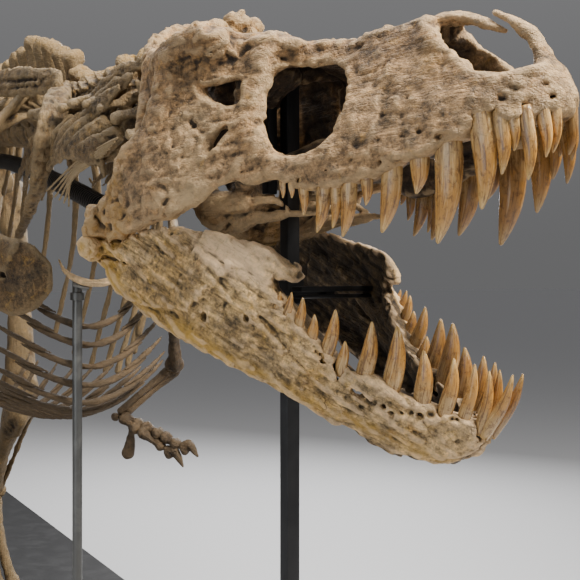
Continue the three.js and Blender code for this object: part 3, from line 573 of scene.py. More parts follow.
def make_piece(name: str, skin: Skin) -> bpy.types.Object:
    """Makes a Blender object that rides on the mount, shaded smooth.

    Args:
        name: the piece's name.
        skin: its mesh.

    Returns:
        The object.
    """
    mesh = bpy.data.meshes.new(name)
    blocks = [f for f in skin.faces if len(f)]
    corners = np.concatenate([f.ravel() for f in blocks]).astype(np.int32)
    sizes = np.concatenate([np.full(len(f), f.shape[1]) for f in blocks]).astype(np.int32)
    mesh.vertices.add(len(skin.points))
    mesh.vertices.foreach_set("co", skin.points.astype(np.float32).ravel())
    mesh.loops.add(len(corners))
    mesh.loops.foreach_set("vertex_index", corners)
    mesh.polygons.add(len(sizes))
    mesh.polygons.foreach_set("loop_start", np.concatenate([[0], np.cumsum(sizes)[:-1]]).astype(np.int32))
    mesh.polygons.foreach_set("use_smooth", np.full(len(sizes), True))
    mesh.update(calc_edges=True)
    rest = mesh.attributes.new("rest", "FLOAT_VECTOR", "POINT")
    rest.data.foreach_set("vector", skin.rest.astype(np.float32).ravel())
    for mask, values in skin.masks.items():
        layer = mesh.attributes.new(mask, "FLOAT", "POINT")
        layer.data.foreach_set("value", values.astype(np.float32))
    made = bpy.data.objects.new(name, mesh)
    bpy.context.scene.collection.objects.link(made)
    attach(made, BODY)
    log.info("%s: %d points, %d faces", name, len(skin.points), len(sizes))
    return made


# ---- Sculpting from bars and balls


def mixed(low: float, high: float, share: float) -> float:
    """Value on the way from low to high."""
    return low + (high - low) * share


@dataclass
class Bar:
    """A bar with oval sections along a smooth line."""

    points: Points
    sizes: Points
    up: Array = field(default_factory=lambda: UP)
    blend: float = 0.02
    steps: int = 14
    cut: bool = False

    def box(self) -> tuple[Array, Array]:
        """Lowest and highest corner."""
        reach = np.max(self.sizes)
        return np.min(self.points, axis=0) - reach, np.max(self.points, axis=0) + reach

    def beside(self, side: int) -> "Bar":
        """Copy on the left (1) or the right (-1)."""
        return replace(self, points=[(x, side * y, z) for x, y, z in self.points])

    def put(self, clay: Clay) -> None:
        """Joins it to a block, or cuts it."""
        clay.bar(self.points, self.sizes, self.up, self.blend, self.steps, self.cut)


@dataclass
class Ball:
    """An egg shape."""

    centre: Row
    radii: Row
    blend: float = 0.02
    cut: bool = False

    def box(self) -> tuple[Array, Array]:
        """Lowest and highest corner."""
        return np.asarray(self.centre) - self.radii, np.asarray(self.centre) + self.radii

    def beside(self, side: int) -> "Ball":
        """Copy on the left (1) or the right (-1)."""
        x, y, z = self.centre
        return replace(self, centre=(x, side * y, z))

    def put(self, clay: Clay) -> None:
        """Joins it to a block, or cuts it."""
        clay.ball(self.centre, self.radii, self.blend, self.cut)


def grain_axes(along: Array) -> Array:
    """Axes as rows, the first along a bone's fibres.

    Args:
        along: direction of the fibres.

    Returns:
        Three unit rows.
    """
    ahead = np.asarray(along, dtype=float)
    ahead = ahead / np.linalg.norm(ahead)
    side = np.cross(UP if abs(ahead[2]) < 0.8 else AHEAD, ahead)
    side /= np.linalg.norm(side)
    return np.stack([ahead, side, np.cross(ahead, side)])


def sculpt(parts: Sequence[Bar | Ball], step: float, seed: int, grain: Grain = Grain(),
    along: Array = AHEAD) -> Skin:
    """Shapes one bone.

    Args:
        parts: bars and balls, in order, in the mount's axes.
        step: grid spacing.
        seed: which unevenness.
        grain: how uneven.
        along: direction of the fibres.

    Returns:
        The bone's mesh.
    """
    boxes = [part.box() for part in parts if not part.cut]
    clay = Clay(np.min([b[0] for b in boxes], axis=0) - 0.025,
        np.max([b[1] for b in boxes], axis=0) + 0.025, step)
    for part in parts:
        part.put(clay)
    axes = grain_axes(along)
    clay.roughen(Noise(seed), grain, axes=axes)
    skin = clay.skin()
    skin.rest = skin.points @ axes.T + seed * 0.37
    return skin


# ---- Shader groups


Socket = bpy.types.NodeSocket
Inputs = dict[str | int, object]


class Wiring:
    """Short ways to place and join nodes in a shader tree."""

    def __init__(self, tree: bpy.types.NodeTree) -> None:
        """Works on one tree.

        Args:
            tree: a material's tree or a node group.
        """
        self.tree = tree

    def node(self, kind: str, inputs: Inputs | None = None, **settings: object) -> bpy.types.Node:
        """A new node with its properties set and its inputs fed.

        Args:
            kind: Blender's name for it.
            inputs: values or outputs, by name or number.
            settings: properties.

        Returns:
            The node.
        """
        made = self.tree.nodes.new(kind)
        for key, value in settings.items():
            setattr(made, key, value)
        self.fill(made, inputs or {})
        return made

    def fill(self, made: bpy.types.Node, inputs: Inputs) -> None:
        """Feeds inputs of a node by name or number."""
        for label, value in inputs.items():
            self.feed(value, made.inputs[label])

    def feed(self, value: object, socket: Socket) -> None:
        """Joins an output to an input, or sets the input to a number or colour.

        Args:
            value: a number, a colour or an output.
            socket: the input.
        """
        if isinstance(value, Socket):
            self.tree.links.new(value, socket)
        else:
            socket.default_value = value

    def maths(self, operation: str, *values: object, clamped: bool = False) -> Socket:
        """Result of a sum, product or other operation.

        Args:
            operation: Blender's name for it.
            values: numbers or outputs.
            clamped: whether it is kept between 0 and 1.

        Returns:
            The output.
        """
        made = self.node("ShaderNodeMath", operation=operation, use_clamp=clamped)
        for i, value in enumerate(values):
            self.feed(value, made.inputs[i])
        return made.outputs[0]

    def times(self, a: object, b: object) -> Socket:
        """Product of two values."""
        return self.maths("MULTIPLY", a, b)

    def plus(self, a: object, b: object) -> Socket:
        """Sum of two values."""
        return self.maths("ADD", a, b)

    def less(self, a: object, b: object) -> Socket:
        """First value without the second."""
        return self.maths("SUBTRACT", a, b)

    def line(self, value: object, gain: object, offset: object) -> Socket:
        """Value times a gain, plus an offset."""
        return self.maths("MULTIPLY_ADD", value, gain, offset)

    def emboss(self, height: object, distance: float, shader: bpy.types.Node) -> None:
        """Gives a shader the relief of a height."""
        lump = self.node("ShaderNodeBump", {"Distance": distance, "Height": height})
        self.feed(lump.outputs["Normal"], shader.inputs["Normal"])

    def step(self, value: object, low: float, high: float) -> Socket:
        """Smooth step of a value from 0 at low to 1 at high."""
        limits = {"Value": value, "From Min": low, "From Max": high}
        return self.node("ShaderNodeMapRange", limits, interpolation_type="SMOOTHSTEP").outputs[0]

    def mix(self, share: object, low: object, high: object) -> Socket:
        """Blend of two colours."""
        colours = {0: share, 6: low, 7: high}
        return self.node("ShaderNodeMix", colours, data_type="RGBA", clamp_factor=True).outputs[2]

    def noise(self, vector: object, scale: float, detail: float = 4.0, rough: float = 0.6,
              warp: float = 0.0) -> Socket:
        """Cloudy noise from 0 to 1."""
        looks = {"Vector": vector, "Scale": scale, "Detail": detail, "Roughness": rough, "Distortion": warp}
        return self.node("ShaderNodeTexNoise", looks).outputs["Fac"]

    def stretched(self, vector: object, scale: Place) -> Socket:
        """Coordinates scaled along each axis."""
        return self.node("ShaderNodeVectorMath", {0: vector, 1: scale}, operation="MULTIPLY").outputs[0]

    def mask(self, name: str) -> Socket:
        """Reads a mask kept on the mesh."""
        return self.node("ShaderNodeAttribute", attribute_name=name).outputs["Fac"]

    def rest(self) -> Socket:
        """Reads each point's place in the bone's own axes."""
        return self.node("ShaderNodeAttribute", attribute_name="rest").outputs["Vector"]


class Group:
    """A shader node group with named inputs and outputs."""

    def __init__(self, name: str, inputs: Sequence[tuple[str, str]],
        outputs: Sequence[tuple[str, str]]) -> None:
        """Makes an empty group.

        Args:
            name: the group's name.
            inputs: name and socket type of each input.
            outputs: name and socket type of each output.
        """
        self.tree = bpy.data.node_groups.new(name, "ShaderNodeTree")
        for label, kind in inputs:
            self.tree.interface.new_socket(name=label, in_out="INPUT", socket_type=kind)
        for label, kind in outputs:
            self.tree.interface.new_socket(name=label, in_out="OUTPUT", socket_type=kind)
        self.wires = Wiring(self.tree)
        self.inside = self.tree.nodes.new("NodeGroupInput").outputs
        self.outside = self.tree.nodes.new("NodeGroupOutput").inputs

    def placed(self, wires: Wiring, **values: object) -> dict[str, Socket]:
        """Puts the group in a tree, with a value or an output for each input, and returns its outputs.

        Args:
            wires: where it is placed.
            values: numbers, colours or outputs, by input.

        Returns:
            The outputs by name.
        """
        made = wires.node("ShaderNodeGroup", node_tree=self.tree)
        for label, value in values.items():
            wires.feed(value, made.inputs[label])
        return {socket.name: socket for socket in made.outputs}


COLOUR, NUMBER, VECTOR = "NodeSocketColor", "NodeSocketFloat", "NodeSocketVector"


def mottle_group() -> Group:
    """Fossil colours: a ground colour with clouds of a second, blotches of a third, specks and streaks.

    Returns:
        The group.
    """
    group = Group("fossil_mottle", [("Place", VECTOR), ("Ground", COLOUR), ("Cloud", COLOUR),
        ("Blotch", COLOUR), ("Stain", COLOUR), ("Gold", COLOUR), ("Streak", NUMBER)], [("Color", COLOUR)])
    w, given = group.wires, group.inside
    place = given["Place"]
    cloud = w.step(w.noise(place, 3.2, 5.0, 0.62, 0.6), 0.42, 0.6)
    blotch = w.step(w.noise(place, 6.5, 8.0, 0.76, 0.8), 0.48, 0.64)
    stain = w.step(w.noise(w.stretched(place, (9.0, 26.0, 22.0)), 1.0, 7.0, 0.74, 1.0), 0.53, 0.68)
    gold = w.step(w.noise(place, 17.0, 6.0, 0.72, 0.9), 0.56, 0.68)
    streak = w.noise(w.stretched(place, (6.0, 60.0, 60.0)), 1.0, 5.0, 0.66, 0.3)
    colour = w.mix(cloud, given["Ground"], given["Cloud"])
    colour = w.mix(w.times(blotch, 0.7), colour, given["Blotch"])
    colour = w.mix(w.times(gold, 0.55), colour, given["Gold"])
    colour = w.mix(w.times(stain, 0.65), colour, given["Stain"])
    fine = w.plus(w.noise(place, 24.0, 6.0, 0.74, 0.4), w.times(w.noise(place, 95.0, 5.0, 0.75), 0.9))
    lift = w.line(w.less(fine, 0.95), 3.4, 1.0)
    along = w.line(w.times(w.less(streak, 0.5), given["Streak"]), 2.0, 1.0)
    light = w.maths("MAXIMUM", w.times(lift, along), 0.18)
    shade = w.node("ShaderNodeVectorMath", {0: colour, "Scale": light}, operation="SCALE")
    w.feed(shade.outputs[0], group.outside["Color"])
    return group


def relief_group() -> Group:
    """Height of bone texture in metres: pores, fibres along the bone and fine cracks.

    Returns:
        The group.
    """
    group = Group("bone_relief", [("Place", VECTOR), ("Pores", NUMBER), ("Fibres", NUMBER),
        ("Cracks", NUMBER)], [("Height", NUMBER), ("Crack", NUMBER)])
    w, given = group.wires, group.inside
    place = given["Place"]
    rough = w.less(w.noise(place, 95.0, 5.0, 0.68, 0.3), 0.5)
    fibre = w.less(w.noise(w.stretched(place, (14.0, 150.0, 150.0)), 1.0, 3.0, 0.55, 0.4), 0.5)
    cell = w.node("ShaderNodeTexVoronoi", {"Vector": place, "Scale": 85.0}, feature="F1")
    pore = w.times(w.step(cell.outputs["Distance"], 0.32, 0.1), w.step(w.noise(place, 14.0), 0.5, 0.62))
    sway = w.node("ShaderNodeTexNoise", {"Vector": place, "Scale": 16.0}).outputs["Color"]
    bent = w.node("ShaderNodeVectorMath", {0: w.stretched(place, (5.0, 21.0, 19.0)), 1: sway},
        operation="ADD")
    looks = {"Vector": bent.outputs[0], "Scale": 1.0}
    vein = w.node("ShaderNodeTexVoronoi", looks, feature="DISTANCE_TO_EDGE")
    crack = w.times(w.step(vein.outputs["Distance"], 0.03, 0.0),
        w.step(w.noise(place, 9.0, 3.0), 0.54, 0.68))
    height = w.times(rough, 0.0075)
    height = w.plus(height, w.times(w.times(fibre, given["Fibres"]), 0.006))
    height = w.less(height, w.times(w.times(pore, given["Pores"]), 0.0022))
    height = w.less(height, w.times(w.times(crack, given["Cracks"]), 0.003))
    w.feed(height, group.outside["Height"])
    w.feed(w.maths("MULTIPLY", crack, given["Cracks"], clamped=True), group.outside["Crack"])
    return group


def crevice_group() -> Group:
    """Painted shade in hollows, dark cracks, and pale rubbed ridges.

    Returns:
        The group.
    """
    group = Group("crevice_shade_and_grime", [("Color", COLOUR), ("Hollow", NUMBER), ("Crack", NUMBER),
        ("Dirt", COLOUR), ("Rubbed", COLOUR)], [("Color", COLOUR), ("Dirt", NUMBER)])
    w, given = group.wires, group.inside
    # Painted shade: the deeper a hollow, the darker it is painted; cracks are darkened too.
    shade_and_grime = w.maths("MAXIMUM", w.step(given["Hollow"], 0.2, 1.25), w.times(given["Crack"], 0.5))
    rubbed = w.times(w.step(given["Hollow"], -0.15, -0.9), 0.45)
    colour = w.mix(rubbed, given["Color"], given["Rubbed"])
    w.feed(w.mix(w.times(shade_and_grime, 0.88), colour, given["Dirt"]), group.outside["Color"])
    w.feed(shade_and_grime, group.outside["Dirt"])
    return group


def scuff_group() -> Group:
    """Faint handling marks: a mask of smudges and a height of fine scratches.

    Returns:
        The group.
    """
    group = Group("scuffs", [("Place", VECTOR), ("Amount", NUMBER)],
        [("Smudge", NUMBER), ("Height", NUMBER)])
    w, given = group.wires, group.inside
    smudge = w.step(w.noise(given["Place"], 7.0, 6.0, 0.7, 0.8), 0.42, 0.68)
    scratch = w.noise(w.stretched(given["Place"], (60.0, 60.0, 900.0)), 1.0, 3.0, 0.6)
    w.feed(w.times(smudge, given["Amount"]), group.outside["Smudge"])
    w.feed(w.times(w.times(scratch, given["Amount"]), 0.0006), group.outside["Height"])
    return group


class Kit:
    """The node groups that the finishes share, each built once."""

    def __init__(self) -> None:
        """Builds the groups."""
        self.mottle = mottle_group()
        self.relief = relief_group()
        self.crevice = crevice_group()
        self.scuffs = scuff_group()


Rgb = tuple[float, float, float]


def rgba(colour: Rgb) -> tuple[float, float, float, float]:
    """Colour with full cover."""
    return (*colour, 1.0)


def new_material(name: str, colour: Rgb) -> tuple[bpy.types.Material, Wiring, bpy.types.Node]:
    """Starts a node material.

    Args:
        name: its name.
        colour: what it looks like in a plain view.

    Returns:
        The material, a way to place nodes in it, and its shader.
    """
    made = bpy.data.materials.new(name)
    made.use_nodes = True
    made.diffuse_color = rgba(colour)
    return made, Wiring(made.node_tree), made.node_tree.nodes["Principled BSDF"]


@dataclass(frozen=True)
class BoneFinish:
    """Finish of mineralised bone, in linear colours."""

    name: str
    ground: Rgb
    cloud: Rgb
    blotch: Rgb
    stain: Rgb
    pale: Rgb
    ochre: Rgb
    # Colour of painted shade in hollows and on the insides, and of dark cracks and darker patches.
    shade_and_grime: Rgb = (0.014, 0.0095, 0.007)
    streak: float = 1.0
    pores: float = 1.0
    cracks: float = 1.0

    def build(self, kit: Kit) -> bpy.types.Material:
        """Makes the material.

        Args:
            kit: shared node groups.

        Returns:
            The material.
        """
        made, w, shader = new_material(self.name, self.ground)
        place = w.rest()
        mottle = kit.mottle.placed(w, Place=place, Ground=rgba(self.ground), Cloud=rgba(self.cloud),
            Blotch=rgba(self.blotch), Stain=rgba(self.stain), Gold=rgba(self.ochre), Streak=self.streak)
        grain = kit.relief.placed(w, Place=place, Pores=self.pores, Fibres=self.streak, Cracks=self.cracks)
        broken = w.noise(place, 30.0, 5.0, 0.7, 0.5)
        colour = mottle["Color"]
        # The dark mask is tinted with the painted shade colour: shade on the insides, and darker patches
        # elsewhere.
        for mask, tint in (("pale", self.pale), ("ochre", self.ochre), ("dark", self.shade_and_grime)):
            cover = w.times(w.mask(mask), w.line(broken, 2.4, -0.2))
            share = w.times(w.step(cover, 0.15, 0.9), 0.85)
            colour = w.mix(share, colour, rgba(tint))
        # Painted shade in hollows and dark cracks, and pale rubbed ridges.
        shade_and_grime = kit.crevice.placed(w, Color=colour, Hollow=w.mask("hollow"), Crack=grain["Crack"],
            Dirt=rgba(self.shade_and_grime), Rubbed=rgba(self.pale))
        rough = w.line(shade_and_grime["Dirt"], 0.2, w.line(broken, 0.3, 0.42))
        w.fill(shader, {"Base Color": shade_and_grime["Color"], "Roughness": rough, "Specular IOR Level": 0.38})
        w.emboss(grain["Height"], 1.0, shader)
        return made


@dataclass(frozen=True)
class ToothFinish:
    """Glossy enamel: honey brown, paler at the root, with streaks and fine cracks along the crown, and
    painted shade on the far side's crowns.
    """

    name: str = "tooth_enamel"
    root: Rgb = (0.47, 0.29, 0.11)
    crown: Rgb = (0.50, 0.245, 0.052)
    tip: Rgb = (0.7, 0.44, 0.15)
    dark: Rgb = (0.11, 0.045, 0.013)
    light: Rgb = (0.9, 0.66, 0.34)

    def build(self, kit: Kit) -> bpy.types.Material:
        """Makes the material.

        Args:
            kit: shared node groups.

        Returns:
            The material.
        """
        made, w, shader = new_material(self.name, self.crown)
        place = w.rest()
        along = w.mask("along")
        cloud = w.noise(place, 28.0, 4.0, 0.6, 0.5)
        streak = w.noise(w.stretched(place, (140.0, 140.0, 11.0)), 1.0, 4.0, 0.6, 0.5)
        colour = w.mix(w.step(w.plus(along, w.times(w.less(cloud, 0.5), 0.9)), 0.12, 0.5),
                       rgba(self.root), rgba(self.crown))
        colour = w.mix(w.step(along, 0.7, 1.0), colour, rgba(self.tip))
        colour = w.mix(w.times(w.step(streak, 0.51, 0.62), 0.72), colour, rgba(self.dark))
        colour = w.mix(w.times(w.step(w.noise(place, 60.0, 6.0, 0.75, 0.6), 0.5, 0.62), 0.62), colour,
            rgba(self.dark))
        colour = w.mix(w.times(w.step(streak, 0.44, 0.3), 0.4), colour, rgba(self.light))
        # Painted shade: crowns on the far side are darkened by the far mask.
        colour = w.mix(w.times(w.mask("far"), 0.45), colour, rgba(self.dark))
        grain = kit.relief.placed(w, Place=w.stretched(place, (2.0, 2.0, 0.6)), Pores=0.1, Fibres=0.12,
            Cracks=0.6)
        colour = w.mix(w.times(grain["Crack"], 0.8), colour, rgba(self.dark))
        w.fill(shader, {"Base Color": colour, "Roughness": w.line(streak, 0.24, 0.1),
                        "Coat Weight": w.line(cloud, -0.5, 0.75), "Coat Roughness": 0.14})
        w.emboss(w.plus(grain["Height"], w.times(streak, 0.002)), 0.35, shader)
        return made


@dataclass(frozen=True)
class PlainFinish:
    """Finish of a made piece: painted or satin metal, or a painted board."""

    name: str
    colour: Rgb
    metallic: float
    rough: float
    wear: float = 1.0

    def build(self, kit: Kit) -> bpy.types.Material:
        """Makes the material.

        Args:
            kit: shared node groups.

        Returns:
            The material.
        """
        made, w, shader = new_material(self.name, self.colour)
        place = w.rest()
        marks = kit.scuffs.placed(w, Place=place, Amount=self.wear)
        lighter = tuple(min(c * 1.6 + 0.01, 1.0) for c in self.colour)
        colour = w.mix(w.times(marks["Smudge"], 0.6), rgba(self.colour), rgba(lighter))
        rough = w.line(marks["Smudge"], 0.18, self.rough)
        w.fill(shader, {"Base Color": colour, "Roughness": rough, "Metallic": self.metallic})
        w.emboss(marks["Height"], 0.5, shader)
        return made


class Slot(Enum):
    """The record's material slots."""

    SKULL = "skull_bone"
    JAW = "jaw_bone"
    BODY = "body_bone"
    DARK = "dark_bone"
    TOOTH = "tooth_enamel"
    BASE = "base_board"
    BLACK = "black_steel"
    GREY = "grey_steel"


FINISHES = {
    Slot.SKULL: BoneFinish(
        "skull_bone", ground=(0.235, 0.131, 0.051), cloud=(0.335, 0.203, 0.094),
            blotch=(0.128, 0.088, 0.048),
        stain=(0.068, 0.034, 0.013), pale=(0.53, 0.37, 0.195), ochre=(0.41, 0.22, 0.045)),
    Slot.JAW: BoneFinish(
        "jaw_bone", ground=(0.41, 0.255, 0.094), cloud=(0.54, 0.36, 0.165), blotch=(0.165, 0.12, 0.066),
        stain=(0.22, 0.11, 0.03), pale=(0.88, 0.62, 0.37), ochre=(0.55, 0.32, 0.055), streak=1.6),
    Slot.BODY: BoneFinish(
        "body_bone", ground=(0.105, 0.062, 0.024), cloud=(0.165, 0.105, 0.047), blotch=(0.05, 0.037, 0.02),
        stain=(0.08, 0.04, 0.012), pale=(0.33, 0.235, 0.12), ochre=(0.36, 0.2, 0.04)),
    # Darkest copy of the bone finish, for the belly ribs, arms, hands and toes: painted shade of the parts
    # low under the body.
    Slot.DARK: BoneFinish(
        "dark_bone", ground=(0.05, 0.03, 0.013), cloud=(0.078, 0.048, 0.022), blotch=(0.027, 0.018, 0.01),
        stain=(0.06, 0.028, 0.01), pale=(0.16, 0.11, 0.06), ochre=(0.13, 0.075, 0.022)),
    Slot.TOOTH: ToothFinish(),
    Slot.BASE: PlainFinish("base_board", (0.02, 0.02, 0.021), metallic=0.0, rough=0.5, wear=0.6),
    Slot.BLACK: PlainFinish("black_steel", (0.012, 0.012, 0.013), metallic=0.3, rough=0.38, wear=0.8),
    Slot.GREY: PlainFinish("grey_steel", (0.13, 0.13, 0.125), metallic=0.8, rough=0.36),
}
SHARP = math.radians(32)


class Workshop:
    """Dresses pieces: gives each its finish and slot, and hides the solids that it stands for."""

    def __init__(self) -> None:
        """Builds every finish."""
        kit = Kit()
        self.materials = {slot: finish.build(kit) for slot, finish in FINISHES.items()}

    def dress(self, name: str, skin: Skin, slot: Slot, nodes: Sequence[str] = ()) -> bpy.types.Object:
        """Makes a piece and finishes it.

        Args:
            name: the piece's name.
            skin: its mesh.
            slot: its material slot.
            nodes: the solids that it stands for.

        Returns:
            The object.
        """
        if isinstance(FINISHES[slot], BoneFinish):
            for mask in ("pale", "ochre", "dark"):
                skin.masks.setdefault(mask, np.zeros(len(skin.points)))
            # Painted shade: hollows are darkened in the shader by this mask.
            if "hollow" not in skin.masks:
                skin.masks["hollow"] = hollows_of(skin.points, skin.faces) / HOLLOW
        made = make_piece(name, skin)
        made.data.materials.append(self.materials[slot])
        if isinstance(FINISHES[slot], PlainFinish):
            made.data.set_sharp_from_angle(angle=SHARP)
        if nodes:
            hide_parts(*nodes)
        return made


# ---- Skull


def turned_axes(yaw: float, pitch: float) -> Array:
    """Unit axes of a head piece as rows: ahead, to its left, and up.

    Args:
        yaw: degrees to the left.
        pitch: degrees up.

    Returns:
        Three unit rows.
    """
    a, b = math.radians(yaw), math.radians(pitch)
    ahead = np.array([math.cos(a) * math.cos(b), math.sin(a) * math.cos(b), math.sin(b)])
    left = np.array([-math.sin(a), math.cos(a), 0.0])
    return np.stack([ahead, left, np.cross(ahead, left)])


JAW_JOINT = np.array([3.630, 0.027, 2.276])
HEAD_YAW = 18.0


@dataclass
class Tooth:
    """One curved crown: root and tip along and above the jaw, its width there, and its place across."""

    root: tuple[float, float]
    tip: tuple[float, float]
    wide: float
    across: float
    tip_across: float

    ROUND = 16
    RINGS = 14
    TAPER = (0.84, 0.94, 1.0, 1.02, 1.0, 0.96, 0.89, 0.78, 0.62, 0.42, 0.16)

    def skin(self, buried: float, far: float) -> Skin:
        """Mesh of the crown and of the root end that the jaw hides.

        Args:
            buried: how far it reaches into the jaw.
            far: how much painted shade darkens it, for crowns on the far side, 0 to 1.

        Returns:
            The mesh, in the jaw's axes.
        """
        root = np.array([self.root[0], self.across, self.root[1]])
        tip = np.array([self.tip[0], self.tip_across, self.tip[1]])
        run = tip - root
        long = float(np.linalg.norm(run))
        down = run / long
        start = root - down * buried
        bend = np.array([1.0, 0.0, 0.0]) * long * 0.07
        line = smooth_line([start, root + bend * 0.3, root + run * 0.5 + bend,
            root + run * 0.82 + bend * 0.55, tip], self.RINGS)
        half = spread(self.TAPER, self.RINGS)[:, 0] * self.wide / 2
        ahead, side, rise = frames_along(line, LEFTWARD)
        turn = np.linspace(0, 2 * math.pi, self.ROUND, endpoint=False)
        keel = 1 + 0.06 * np.abs(np.cos(turn)) ** 6
        ring = np.stack([np.cos(turn) * keel, np.sin(turn) * 0.68], axis=1)
        points = (line[:, None] + half[:, None, None]
            * (ring[None, :, :1] * side[:, None] + ring[None, :, 1:] * rise[:, None]))
        points = np.vstack([points.reshape(-1, 3), [line[0]], [line[-1] + ahead[-1] * half[-1] * 0.8]])
        faces = tube_faces(self.RINGS, self.ROUND)
        rest = np.stack([np.tile(ring[:, 0], self.RINGS) * self.wide / 2,
            np.tile(ring[:, 1], self.RINGS) * self.wide / 2,
            np.repeat(np.linspace(-buried, long, self.RINGS), self.ROUND)], axis=1)
        rest = (np.vstack([rest, [0, 0, -buried], [0, 0, long]])
            + np.array([self.root[0] * 7, self.across * 9, 0]))
        along = np.clip((np.repeat(np.linspace(-buried, long, self.RINGS), self.ROUND)) / long, 0, 1)
        along = np.concatenate([along, [0.0, 1.0]])
        # The far mask carries painted shade for the crowns on the far side.
        return Skin(points, faces, rest, {"along": along, "far": np.full(len(points), far)})


def tube_faces(rings: int, around: int) -> list[Array]:
    """Faces of a closed tube whose last two points close its start and its end.

    Args:
        rings: how many rings.
        around: points in each ring.

    Returns:
        Blocks of faces.
    """
    i, j = np.meshgrid(np.arange(rings - 1), np.arange(around), indexing="ij")
    k = (j + 1) % around
    quads = np.stack([i * around + j, i * around + k, (i + 1) * around + k, (i + 1) * around + j], axis=-1)
    j = np.arange(around)
    k = (j + 1) % around
    last = (rings - 1) * around
    first_cap = np.stack([np.full(around, rings * around), k, j], axis=1)
    last_cap = np.stack([np.full(around, rings * around + 1), last + j, last + k], axis=1)
    return [quads.reshape(-1, 4), np.vstack([first_cap, last_cap])]


